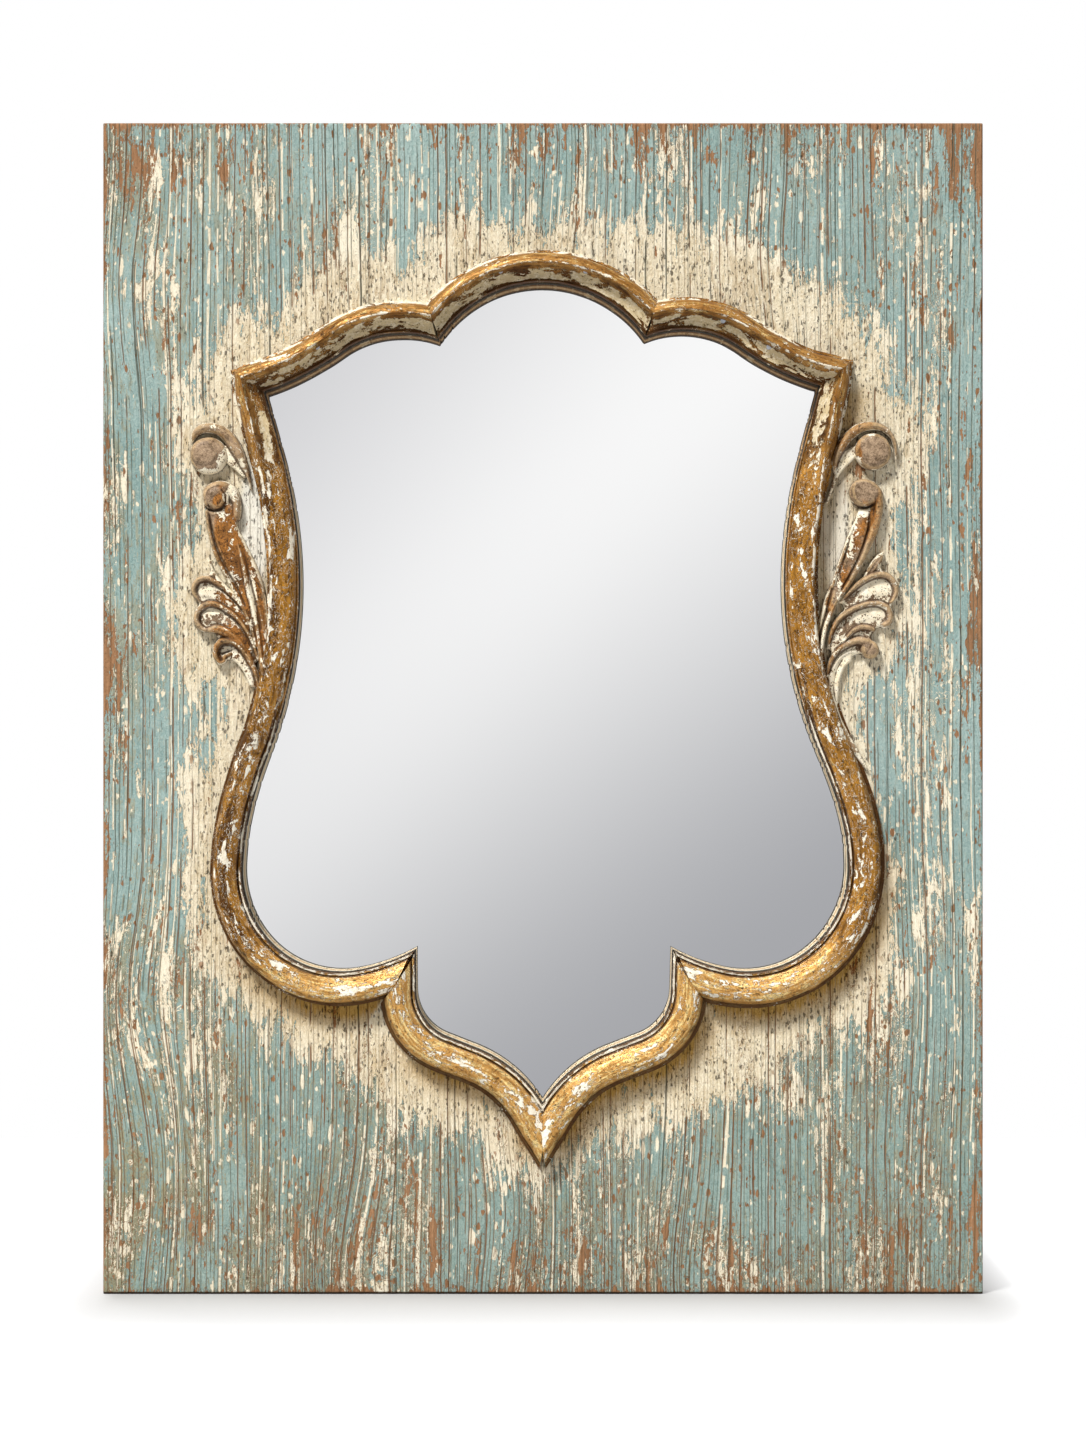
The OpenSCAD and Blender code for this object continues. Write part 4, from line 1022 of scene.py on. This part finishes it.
gilt_finish = gilding()
whole_arch = walk((-arch_path[-1, 0], arch_path[-1, 1], -math.degrees(arch_path[-1, 2])),
                  ((arch[0][0], 2 * arch[0][1]),))
top_mitre = mitre_of(arch_path, shoulder_path)
corner_mitre = mitre_of(shoulder_path, side_path)
cusp_mitre = mitre_of(bowl_path, point_path)
far_on = 1
upper_all = ((0, upper_section), (far_on, upper_section))
lower_all = ((0, lower_section), (far_on, lower_section))
side_blend = ((0, upper_section), (0.012, upper_section), (0.085, waist_section),
              (far_on, waist_section))
bowl_blend = ((0, joint_section), (0.05, lower_section), (far_on, lower_section))
made = [moulding("moulding_arch", whole_arch, upper_all, (-top_mitre, top_mitre))]
for hand in ("right", "left"):
    for length, path, sections, ends in (
            ("shoulder", shoulder_path, upper_all, (top_mitre, corner_mitre)),
            ("side", side_path, side_blend, (corner_mitre, None)),
            ("bowl", bowl_path, bowl_blend, (None, cusp_mitre)),
            ("point", point_path, lower_all, (cusp_mitre, -90))):
        made.append(moulding(f"moulding_{length}_{hand}", path, sections, ends, hand == "left"))
for piece in made:
    piece.data.materials.append(gilt_finish)


# The carved ornaments at the sides: a scroll round a turned button, a long leaf that ends in a
# curl, and a fan of smaller lobes. They are limewood, gessoed, toned and rubbed, and glued on.
# A strand is a row of places on the photograph, each with its half width there and its height
# in millimetres. Its shape number is 2 for a half-round section and more for a flatter one.
photo_middle_column = photo_w / 2
carve_step = 0.00042
grid_margin = 0.0035
web_height, web_edge = 0.0042, 0.001
mm = 1e-3
scroll_strands = (
    (2, ((896, 461, 1, 5), (895.5, 446.5, 2.2, 7), (891.5, 435, 3, 8.5), (882.5, 427.5, 3.9, 9),
         (871.3, 425.5, 4.8, 9.5), (860, 428, 5.4, 9.5), (850, 435, 5.6, 9.3), (843, 444, 5.2, 9),
         (837.8, 454, 4.2, 8.5), (835, 463.5, 3, 7.5), (834.8, 473, 1.2, 5))),
    (5, ((856, 450, 5, 4.2), (849, 457, 5.5, 4.2), (842, 465, 4.6, 4), (836.5, 476, 2.6, 4),
         (831.5, 489, 2, 3.8), (827, 502, 1.2, 3))))
leaf_strands = (
    (3, ((870, 506, 9, 6.4), (868, 520, 12.4, 6.4), (864, 531, 12.8, 6.4), (859.5, 541, 13, 6.4),
         (855.5, 550.6, 12.4, 6.4), (851.6, 560.4, 12.1, 6.4), (847.3, 570, 11.2, 6.4),
         (843.3, 580, 9.4, 6.8), (839.2, 589.6, 7, 7.4), (835.8, 597.3, 5, 8),
         (831.4, 609, 3.6, 8.4))),
    (2, ((872, 486, 6, 9.6), (877.5, 493, 6, 9.6), (879, 502, 5.4, 9.6), (878.5, 512, 5.4, 9.6),
         (876, 523, 5.6, 9.6), (872, 534, 5.6, 9.6), (867.5, 545, 5.2, 9.4),
         (862.5, 556, 4.8, 9.2), (857, 568, 4.3, 9), (851, 579, 4, 9), (844, 590, 3.6, 9),
         (837, 600, 3.2, 9), (829.8, 615.3, 2.9, 9.5), (824.7, 630.6, 2.9, 10.5),
         (821.6, 646, 3.2, 12), (819.8, 661, 3.8, 13.6), (819.6, 673.5, 4.8, 14.8),
         (821.2, 685, 5.6, 15.6), (824.4, 697, 6, 16), (829.4, 712, 5.6, 15.8),
         (837, 732, 4, 14.6))),
    (2, ((853.5, 526, 1.2, 7), (847.5, 542, 1.5, 7.2), (842.5, 556, 1.5, 7.2),
         (837, 571, 1.6, 7.2), (832.5, 587, 1.6, 7.4))),
    (2, ((831, 586, 1.4, 5), (827, 600, 2.8, 6), (823, 614, 2.6, 6.6), (818.5, 630, 2.4, 7.4),
         (814, 645, 2.4, 9), (810.5, 659, 2.4, 11), (806.5, 676, 1.4, 13))),
    (6, ((863.8, 492.6, 14.4, 10.4), (864.2, 493, 14.2, 10.4))))
fan_strands = (
    (2, ((862, 583, 1, 3), (868.5, 573.5, 4, 5), (875.5, 564.5, 5.6, 6), (880, 558, 4.4, 5.4),
         (883.5, 552.5, 0.8, 3))),
    (2, ((840, 602, 1.5, 6), (851, 590.5, 2.8, 7.5), (861, 582, 3.4, 8), (872, 576, 3.6, 8.2),
         (883, 574.5, 3.8, 8.2), (891, 578, 3.9, 8.2), (896, 586.5, 3.7, 8),
         (895.5, 595.5, 3.4, 7.5), (891.3, 602, 2.2, 7))),
    (4, ((846, 611, 2.5, 4), (857, 602, 4.6, 4.4), (867, 595.5, 6, 4.6), (877, 590.5, 7, 4.6),
         (887, 592, 6.5, 4.6))),
    (2, ((828, 648, 1.4, 6), (831.5, 632, 2.5, 7.5), (839, 619, 3.1, 8), (851.8, 609.6, 3.3, 8),
         (865.5, 604.4, 3.3, 8), (877, 603.2, 3.5, 8), (886, 606.8, 3.9, 8), (890.2, 613.6, 3.9, 8),
         (889.4, 621, 3.8, 7.8), (884.3, 624.8, 3.7, 7.5))),
    (4, ((833, 657, 2.5, 4), (838, 641, 3.6, 4.4), (847, 628, 4.6, 4.6), (858, 620, 5.2, 4.6),
         (869, 615.5, 6, 4.6), (879, 617, 5.5, 4.6))),
    (2, ((843, 642, 1.2, 5.6), (852.5, 631.4, 2.6, 7), (861.6, 627, 3.4, 7.5),
         (870.3, 628, 3.2, 7.3), (874.4, 630.4, 1.7, 6.5))),
    (2, ((826.6, 676, 1.2, 6), (830.4, 662, 2.3, 7.5), (838, 650.6, 3, 8), (849, 643.6, 3.8, 8),
         (858.7, 640.4, 4.8, 8.4), (867, 643, 6.4, 8.8))),
    (3.2, ((870, 649, 9.4, 9.4), (870.6, 650, 9.4, 9.4))),
    (2, ((829, 693, 2, 4.5), (831, 677, 2.7, 5), (835, 665, 3.1, 5.2), (841.5, 656.4, 3.1, 5.2),
         (850, 652, 3, 5), (857, 652, 2.4, 4.5))),
    (2, ((836.5, 706, 2, 4), (837, 691, 2.4, 4.5), (839, 677, 2.6, 4.8), (843.5, 666, 2.6, 4.8),
         (850, 659.5, 2.2, 4.5))),
    (3, ((829.8, 688, 3.4, 5), (832.6, 703, 4.4, 5.2), (838, 720, 4.4, 5.2), (846, 736, 4.2, 5),
         (856, 752, 3.6, 4.5), (866, 768, 2, 3.2))))
button_strands = ((3.6, ((873.3, 451, 18.6, 10.6), (873.5, 451.2, 18.6, 10.6))),)

scroll_left_strands = (
    (2, ((192, 441, 1.6, 6), (196, 432, 4.3, 8), (205.7, 427.5, 5.6, 9), (218.4, 429.5, 6, 9.5),
         (228, 437, 6.6, 9.5), (235.9, 449, 6.4, 9.4), (242.7, 463, 4.6, 8.8),
         (247.5, 475, 2.2, 7), (251, 489, 1.2, 4.5))),
    (5, ((222, 450, 4, 4.2), (230, 459, 5.5, 4.4), (238, 467, 4.5, 4.2), (244, 476, 2.4, 4))))
leaf_left_strands = (
    (5, ((217, 497, 11.5, 10.2), (217.4, 497.4, 11.4, 10.2))),
    (2, ((206, 503, 3, 8), (206.5, 492, 4.5, 9), (214, 486, 5, 9.5), (224, 486.5, 6, 9.5),
         (232, 493, 6.5, 9.2), (236.5, 504, 5, 8.8), (236, 516, 5, 8))),
    (3, ((222, 511.7, 15.7, 6.6), (224.5, 531, 14.3, 6.8), (232, 550.6, 15.5, 7),
         (240, 570, 17, 7), (248, 589.6, 16, 7.2), (254, 609, 13, 7.6), (259, 628.5, 9.7, 8.4),
         (263.6, 648, 7.3, 9.6), (266.5, 667, 6.3, 12))),
    (2, ((238, 545, 2, 8), (243, 565, 3.4, 9.4), (247, 585, 3.8, 9.8), (252, 605, 3.8, 10),
         (256.5, 625, 3.6, 10.4), (259.5, 645, 3.8, 11.8), (262, 662, 4.4, 13.6),
         (264.5, 675, 5, 15), (264, 688, 5.6, 15.8), (261, 702, 5.6, 15.8), (253, 726, 4, 14.6))),
    (2, ((206.5, 512, 2.5, 8), (209, 530, 2.4, 8.2), (215, 552, 2.6, 8.2), (224, 572, 2.6, 8.2),
         (234, 590, 2.6, 8.2), (243, 607, 2.6, 8.4), (251, 626, 2.4, 9), (256, 646, 2.4, 10))),
    (4, ((250, 588, 5, 7), (257, 610, 5, 7.4), (263, 632, 4.4, 8.6), (267, 652, 3.6, 10),
         (270, 668, 3, 12))))
fan_left_strands = (
    (2, ((210, 561, 1.2, 4), (213, 572, 2, 5.5), (221, 583, 2.4, 6.5), (231, 593, 2.5, 7),
         (241, 604, 2.4, 7.2), (249, 617, 1.8, 7.2))),
    (2, ((199.5, 601, 1.6, 6), (194.5, 594, 3, 7.5), (193.6, 586, 3.4, 8), (199, 579.5, 3.5, 8.2),
         (208, 578.6, 3.3, 8.2), (217, 583, 3, 8), (226, 589.5, 2.8, 8), (236, 599.5, 2.7, 8),
         (246, 612.5, 2.5, 8), (254, 628, 2.2, 8), (258, 641, 1.6, 7.5))),
    (4, ((203, 592, 6, 5), (214, 594, 6.5, 5), (226, 601, 6, 5.2), (238, 613, 5, 5.4),
         (248, 628, 4, 5.6))),
    (2, ((209, 631, 2, 6.5), (201, 628, 3, 7.5), (196, 620, 3.5, 8), (198, 611, 3.5, 8.2),
         (205.5, 604.5, 3.5, 8.4), (215, 604, 3.3, 8.4), (226, 609.5, 3, 8.2), (237, 618, 2.8, 8.2),
         (246.5, 631, 2.6, 8.2), (253.5, 645, 2.3, 8), (258, 659, 1.8, 7.5))),
    (4, ((207, 617, 7, 5.2), (218, 618, 6, 5.2), (229, 624, 5, 5.4), (240, 636, 4.6, 5.6),
         (249, 651, 3.6, 5.8))),
    (3, ((209, 630, 3, 6.5), (217, 629, 4.6, 7.6), (227, 633, 5, 7.8), (237, 641, 4.6, 7.8),
         (246, 653, 4, 7.8), (253, 667, 3, 7.6))),
    (2, ((219.5, 663, 2.2, 6.5), (215.5, 656, 3.2, 8), (215.5, 647.5, 3.4, 8.6),
         (221, 641.5, 3.6, 8.8), (230, 641, 3.6, 8.8), (239, 646, 3.6, 8.6), (247, 656, 3.4, 8.4),
         (253.5, 668, 3.2, 8.2), (258, 682, 3, 8.2), (260, 696, 2.6, 8))),
    (2, ((219.5, 663, 2.2, 6.5), (224, 661, 2.2, 7), (224.5, 656.5, 2.4, 7.4),
         (230, 654.5, 2.8, 7))),
    (4, ((232, 655, 4, 4.6), (240, 661, 4.5, 5), (247, 671, 4, 5), (252, 684, 3.2, 5))))
button_left_strands = (
    (4, ((208.2, 455.3, 18.9, 9), (208.4, 455.5, 18.9, 9))),
    (4, ((204.6, 452.4, 14.8, 11), (204.8, 452.6, 14.8, 11))))

# Lines that the gouge cut into them, as places with the cut's half width and its depth
leaf_cuts = (
    ((851, 486, 0.9, 1), (850.5, 494, 1.1, 2), (853.5, 502.5, 1.2, 2.6), (860, 507, 1.2, 3),
     (867, 507.5, 1.2, 3), (873, 504, 1, 2)),
    ((869, 514, 0.9, 1), (868, 528, 1, 1.8), (861, 552, 1, 2), (852, 571, 1, 1.8),
     (841, 590, 0.9, 1.4)),
    ((850, 535, 0.7, 0.8), (843, 562, 0.8, 1.2), (835, 588, 0.7, 1)))
fan_cuts = (((861, 584, 0.7, 0.8), (873, 567, 0.8, 1), (883, 553, 0.6, 0.5)),
            ((872, 641, 0.6, 0.8), (868.5, 650, 0.6, 0.9), (864, 655, 0.5, 0.5)),
            ((842, 660, 0.7, 1), (836, 672, 0.7, 1), (833.5, 690, 0.7, 1), (838, 708, 0.7, 1),
             (846, 726, 0.7, 1), (855, 742, 0.7, 0.8)))
leaf_left_cuts = (
    ((206, 508, 0.9, 1), (213, 511, 1.1, 2.4), (221, 509, 1.1, 2.6), (226, 503, 1.1, 2.4),
     (226, 496, 1, 2), (222, 490, 0.9, 1.4)),
    ((211, 522, 0.8, 1), (216, 545, 0.9, 1.4), (226, 567, 0.9, 1.4), (237, 586, 0.9, 1.4),
     (246, 606, 0.8, 1)),
    ((244, 548, 0.7, 0.8), (250, 575, 0.8, 1.4), (257, 604, 0.8, 1.4), (262, 630, 0.7, 1.2)))

# Where the ornaments are gilt, and where the gesso is nearly bare: (column, row, half width,
# half height, strength)
gilt_spots = (
    (845, 440, 12, 14, 1), (862, 425, 12, 6, 0.8), (833, 470, 6, 12, 0.8), (828, 620, 7, 20, 1.2),
    (820, 665, 8, 26, 1.4), (825, 700, 10, 24, 1.4), (840, 575, 10, 22, 0.6),
    (866, 520, 14, 20, 0.7), (838, 652, 5, 8, 0.9), (887, 622, 5, 5, 0.5), (857, 455, 4, 12, 0.8),
    (850, 545, 8, 30, 0.5), (878, 498, 4, 10, 0.5),
    (226, 550, 16, 60, 0.9), (258, 640, 9, 60, 1.2), (228, 633, 14, 8, 1.0),
    (232, 652, 20, 14, 1.2), (242, 585, 12, 40, 0.9), (222, 437, 8, 6, 0.4), (219, 502, 4, 5, 1.3),
    (218, 606, 14, 8, 0.5), (228, 588, 14, 12, 0.5), (260, 695, 12, 24, 1.4))
chalk_spots = (
    (846, 462, 7, 9, 0.5), (864, 514, 5, 6, 0.6), (851, 548, 7, 20, 0.48), (838, 588, 4, 22, 0.5),
    (822, 622, 4, 26, 0.7), (812, 652, 4, 16, 0.6), (838, 715, 6, 34, 0.6), (843, 665, 10, 20, 0.5),
    (876, 588, 14, 8, 0.5), (872, 612, 14, 6, 0.5), (862, 620, 8, 4, 0.3), (872, 434, 14, 4, 0.4),
    (880, 566, 8, 12, 0.1), (858, 464, 5, 8, 0.4),
    (230, 494, 6, 12, 0.6), (222, 516, 8, 5, 0.5), (254, 600, 5, 36, 0.62),
    (240, 590, 12, 30, 0.16), (232, 552, 3, 30, 0.3), (269, 650, 4, 24, 0.9),
    (214, 612, 12, 7, 0.4), (208, 592, 10, 6, 0.45), (228, 455, 6, 6, 0.5), (242, 464, 6, 8, 0.5),
    (222, 464, 5, 10, 0.6), (209, 472, 12, 4, 0.6), (215, 428, 14, 4, 0.4), (240, 668, 6, 14, 0.4),
    (224, 580, 14, 8, 0.3))


def seen_at(column, row, height=0.0):
    """The x and z that the camera sees at that place, for what stands out that far."""
    nearer = 1 - height / eye_distance
    x = (column - photo_middle_column) * pixel * nearer
    z = camera.location.z + ((panel_middle_row - row) * pixel - camera.location.z) * nearer
    return x, z


def strand_rows(points, step=0.0004):
    """A strand as close rows of x, z, half width and height, on a curve through its places:
    0.5 (2 b + (c - a) t + (2 a - 5 b + 4 c - d) t^2 + (3 b - a - 3 c + d) t^3)."""
    p = np.array(points, float)
    x, z = seen_at(p[:, 0], p[:, 1], p[:, 3] * mm * 0.8)
    p = np.stack([x, z, p[:, 2] * pixel, p[:, 3] * mm], 1)
    ends = np.concatenate([[2 * p[0] - p[1]], p, [2 * p[-1] - p[-2]]])
    gaps = np.hypot(*np.diff(p[:, :2], axis=0).T)
    rows = []
    for k, gap in enumerate(gaps):
        a, b, c, d = ends[k:k + 4]
        t = np.linspace(0, 1, max(2, math.ceil(gap / step) + 1))[:-1, None]
        rows.append(0.5 * (2 * b + (c - a) * t + (2 * a - 5 * b + 4 * c - d) * t * t
                           + (3 * b - a - 3 * c + d) * t ** 3))
    return np.concatenate([*rows, p[-1:]])


def around(field, reach):
    """The mean of a grid field over the 2 reach + 1 places around each, both ways."""
    for axis in (0, 1):
        field = np.mean([np.roll(field, k, axis) for k in range(-reach, reach + 1)], 0)
    return field


def widened(field, reach):
    """The highest value of a grid field within a disc of that many steps round each place."""
    best = field
    for i in range(-reach, reach + 1):
        for j in range(-reach, reach + 1):
            if i * i + j * j <= reach * reach:
                best = np.maximum(best, np.roll(field, (i, j), (0, 1)))
    return best


def carving(name, strands, cuts, web):
    """A relief on a grid: at a distance d from a strand it is H (1 - (d / w) ^ p) ^ (1 / p) high.

    The highest strand counts. A low web fills gaps between strands narrower than 2 web steps.
    Grid places just outside are drawn onto the outline, where the relief meets a flat
    underside a little under the boards' face.
    """
    rows = [(p, strand_rows(points)) for p, points in strands]
    every = np.concatenate([r for _, r in rows])
    low = (every[:, :2] - every[:, 2:3]).min(0) - grid_margin
    high = (every[:, :2] + every[:, 2:3]).max(0) + grid_margin
    x, z = np.meshgrid(np.arange(low[0], high[0], carve_step),
                       np.arange(low[1], high[1], carve_step), indexing="ij")
    inside, height = np.full(x.shape, -1.0), np.zeros(x.shape)
    for p, r in rows:
        for part in np.array_split(r, max(1, len(r) // 40)):
            d = np.hypot(x[..., None] - part[:, 0], z[..., None] - part[:, 1])
            inside = np.maximum(inside, (part[:, 2] - d).max(2))
            share = np.clip(1 - (d / part[:, 2]) ** p, 0, 1) ** (1 / p)
            height = np.maximum(height, (share * part[:, 3]).max(2))
    filled = -widened(-widened(inside, web), web)
    height = np.maximum(height, web_height * np.clip(filled / web_edge, 0, 1) ** 0.5)
    inside = np.maximum(inside, filled)
    for points in cuts:
        for x0, z0, w, depth in strand_rows(points)[::2]:
            d2 = ((x - x0) ** 2 + (z - z0) ** 2) / w ** 2
            cut = height - depth * np.exp(-d2)
            height = np.where(d2 < 9, np.minimum(height, np.maximum(cut, 0)), height)
    seed = sum(map(ord, name))
    rubbed_h = 1 + 0.10 * (mottle(x / 0.006 + seed, z / 0.006, 31) - 0.5)
    rubbed_h -= 0.10 * np.clip(mottle(x / 0.0026 + seed, z / 0.0026, 32) - 0.6, 0, 1)
    height = around(height * rubbed_h, 1)
    hollow = np.clip((around(height, 4) - height) / 0.0012, -1, 1)

    slope = np.stack(np.gradient(inside, carve_step), -1)
    slope /= np.maximum(np.hypot(*np.moveaxis(slope, -1, 0))[..., None], 0.3)
    within = inside > 0
    outside = np.clip(-inside, 0, carve_step * 1.5)
    x = np.where(within, x, x + slope[..., 0] * outside)
    z = np.where(within, z, z + slope[..., 1] * outside)
    kept = np.any([within[c] for c in corners], 0)
    number = np.arange(x.size).reshape(x.shape)
    top = np.stack([number[c][kept] for c in corners], 1)
    under = np.where(within, number + x.size, number).ravel()[top][:, ::-1]
    foot_y, under_y = face_y + 0.0003, face_y + 0.0007
    y = np.where(within, face_y - height, foot_y)
    places = np.concatenate([np.stack([x, y, z], -1).reshape(-1, 3),
                             np.stack([x, np.full(x.shape, under_y), z], -1).reshape(-1, 3)])
    piece, used = shell("carved_" + name, places, np.concatenate([top, under]))
    column, row = x / pixel + photo_middle_column, panel_middle_row - z / pixel
    fields = {"hollow": hollow, "height": height / mm,
              "gilt": spots(gilt_spots, column, row), "chalk": spots(chalk_spots, column, row)}
    store(piece, {key: np.tile(value.ravel(), 2)[used] for key, value in fields.items()})
    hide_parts(name)
    return piece


def carved_finish():
    """Brown-grey and warm brown toned gesso on the raised parts, and paler gesso in the hollows
    and where the tops are chipped. Chips have a dark rim, ridges are rubbed paler."""
    f = Finish("carved_finish")
    place = f.place()
    hollow, height, gilt, chalk = stored(f, "hollow", "height", "gilt", "chalk").values()
    patch, chip = noise(f, place, 150, 3, 0.6, 0.6), noise(f, place, 420, 3, 0.6, 0.8)
    grit, cloud = noise(f, place, 1100), noise(f, place, 60)
    ridge = (hollow * -1).rising(0.12, 0.45)
    deep = hollow.rising(0.10, 0.5)
    low = 1 - (height / 7).rising(0.50, 0.95)
    worn = (chalk + low * 0.46 + ridge * (gilt * 0.14 + 0.08) + patch * 1.25 + chip * 1.2
            + grit * 0.3)
    bare = worn.rising(0.40, 0.43)
    rim = worn.rising(0.30, 0.39) * (1 - bare)
    toned = f.blend(colour(96, 76, 56), colour(184, 158, 130),
                    0.5 + patch * 2.2 + chip * 1.3 + grit * 1.6)
    brown = f.blend(colour(56, 34, 16), colour(186, 124, 58),
                    0.5 + patch * 1.8 + chip * 1.9 + grit * 1.5)
    shade = f.blend(toned, brown, (gilt + cloud * 1.3 + patch * 0.8).rising(0.22, 0.6))
    burnt = (cloud * 1.2 + patch + chip * 0.8).rising(0.04, 0.30) * gilt
    shade = f.blend(shade, colour(58, 42, 28), burnt * 0.7)
    shade = f.blend(shade, colour(222, 190, 140), ridge * (0.30 + chip * 1.5))
    gesso = f.blend(colour(214, 196, 158), colour(248, 242, 224), 0.55 + patch * 1.5 + grit)
    shade = f.blend(shade, gesso, bare)
    shade = f.blend(shade, colour(92, 60, 32), rim * 0.65)
    drawn = f.node("ShaderNodeTexVoronoi", None, {"Vector": place, "Scale": 700})
    picked = f.node("ShaderNodeSeparateColor", None, {0: drawn.also("Color")})
    dots = (1 - drawn.rising(0.22, 0.34)) * (picked * -1 + 0.38 + patch * 0.8).rising(0, 0.02)
    nick = (chip + patch * -0.3 + hollow * 0.10).rising(0.16, 0.19)
    # Dirt and painted shade: darker brown in the deep hollows and where the carving meets the
    # boards
    dirt_and_shade = deep * 0.85 + (1 - height.rising(0.1, 1.2)) * 0.6
    dirt_and_shade = (dirt_and_shade + patch * 0.7 + chip * 0.5).rising(0.25, 0.8)
    shade = f.blend(shade, colour(78, 54, 32), dirt_and_shade * 0.85)
    shade = f.blend(shade, colour(62, 44, 28), nick.math("MAXIMUM", dots * bare) * 0.8)
    relief = bare * -0.00022 + nick * -0.0004 + chip * 0.0003 + grit * 0.00014 - dots * 0.0002
    rough = 0.48 + bare * 0.15 + patch * 0.3
    return surface(f, relief, Base_Color=shade, Roughness=rough, Specular_IOR_Level=0.2)


toned_finish = carved_finish()
for name, strands, cuts, web in (
        ("scroll_right", scroll_strands, (), 4), ("scroll_button_right", button_strands, (), 1),
        ("leaf_right", leaf_strands, leaf_cuts, 6), ("leaf_fan_right", fan_strands, fan_cuts, 8),
        ("scroll_left", scroll_left_strands, (), 4),
        ("scroll_button_left", button_left_strands, (), 1),
        ("leaf_left", leaf_left_strands, leaf_left_cuts, 6),
        ("leaf_fan_left", fan_left_strands, (), 8)):
    carving(name, strands, cuts, web).data.materials.append(toned_finish)


# The mirror: 4 mm float glass, silvered on its back, held against the boards by foam tape with
# a foam pad behind it. The plates are made in CAD and keep their shape here.
def repaint(names, finish):
    """Gives CAD nodes that stay as they are a finish of their own."""
    for name in names:
        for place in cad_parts[name].material_slots:
            place.link = "OBJECT"
            place.material = finish


def silvered(name, tint, aged):
    """A silver layer: a clean mirror, with a few grey specks where it has aged."""
    f = Finish(name)
    speck = noise(f, f.place(), 260, 3).rising(aged, aged + 0.06)
    shade = f.blend(tint, colour(214, 215, 214), speck)
    smear = noise(f, f.place(), 9, 3).rising(0.05, 0.3)
    return surface(f, Base_Color=shade, Roughness=smear * 0.02, Metallic=1.0)


def foam(name, dark, light):
    """Closed-cell foam: small round cells, a little paler at their rims."""
    f = Finish(name)
    cell = f.node("ShaderNodeTexVoronoi", None, {"Vector": f.place(), "Scale": 900})
    shade = f.blend(dark, light, cell.rising(0.2, 0.6))
    return surface(f, cell * 0.0003, Base_Color=shade, Roughness=0.9)


# Seen from the front, float glass over silver is one mirror
repaint(("mirror_glass",), silvered("silvered_glass", colour(254, 254, 254), 0.36))
repaint(("mirror_silvering",), silvered("silver_coat", colour(240, 240, 238), 0.24))
repaint(("foam_pad",), foam("pad_foam", colour(188, 188, 186), colour(226, 226, 222)))
repaint(("glass_tape",), foam("tape_foam", colour(34, 34, 36), colour(66, 66, 68)))


# The back: four pine battens hold the boards together and leave a space for the glass, a
# hardboard sheet closes it, and two steel ring hangers are screwed to the top rail.
def pine(name, along):
    """Planed pine with its rings drawn out along the batten, sawn a little rough."""
    f = Finish(name)
    place = f.place()
    drawn = scaled(f, place, (14, 260, 260) if along == "x" else (260, 260, 14))
    ring = noise(f, drawn, 0.35, 3, 0.5, 0.4) + 0.5
    line = (ring * 9).math("FRACT").rising(0.1, 0.95)
    fibre, cloud = noise(f, drawn, 3, 3), noise(f, place, 14)
    shade = f.blend(colour(214, 176, 124), colour(176, 126, 74), line * 0.6 + fibre * 0.9)
    shade = f.blend(shade, colour(140, 112, 84), (cloud + fibre * 0.3).rising(0.05, 0.3) * 0.5)
    relief = line * -0.00012 + fibre * 0.0003
    return surface(f, relief, Base_Color=shade, Roughness=0.62 + fibre * 0.3)


def pressed_board():
    """Hardboard: short brown fibres pressed flat, darker in clouds."""
    f = Finish("pressed_board")
    fibre, cloud = noise(f, f.place(), 520, 4, 0.7, 1.5), noise(f, f.place(), 12, 3)
    shade = f.blend(colour(92, 62, 38), colour(146, 106, 70), 0.5 + fibre * 1.8 + cloud)
    return surface(f, fibre * 0.0004, Base_Color=shade, Roughness=0.6 + fibre * 0.2)


def plated(name, low, high, rough):
    """Plated metal with a fine handled grain and a few dull places."""
    f = Finish(name)
    fine, dull = noise(f, f.place(), 1400), noise(f, f.place(), 160, 3)
    shade = f.blend(low, high, 0.5 + dull * 1.8 + fine * 0.6)
    return surface(f, fine * 0.00006, Base_Color=shade, Roughness=rough + dull * 0.3, Metallic=1.0)


arris = 0.0008
for name in ("rail_top", "rail_bottom", "stile_left", "stile_right", "backing_board"):
    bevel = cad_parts[name].modifiers.new("eased_edges", "BEVEL")
    bevel.width, bevel.segments, bevel.limit_method = arris, 2, "ANGLE"
    bevel.angle_limit = math.radians(40)
repaint(("rail_top", "rail_bottom"), pine("pine_rails", "x"))
repaint(("stile_left", "stile_right"), pine("pine_stiles", "z"))
repaint(("backing_board",), pressed_board())
zinc = plated("zinc_plate", colour(150, 152, 156), colour(206, 208, 212), 0.34)
repaint(("batten_screws", "moulding_screws", "hanger_screws", "hanger_strap_left",
         "hanger_strap_right", "hanger_ring_left", "hanger_ring_right"), zinc)
brass = plated("brass_plate", colour(150, 112, 50), colour(220, 180, 104), 0.32)
repaint(("backing_screws",), brass)
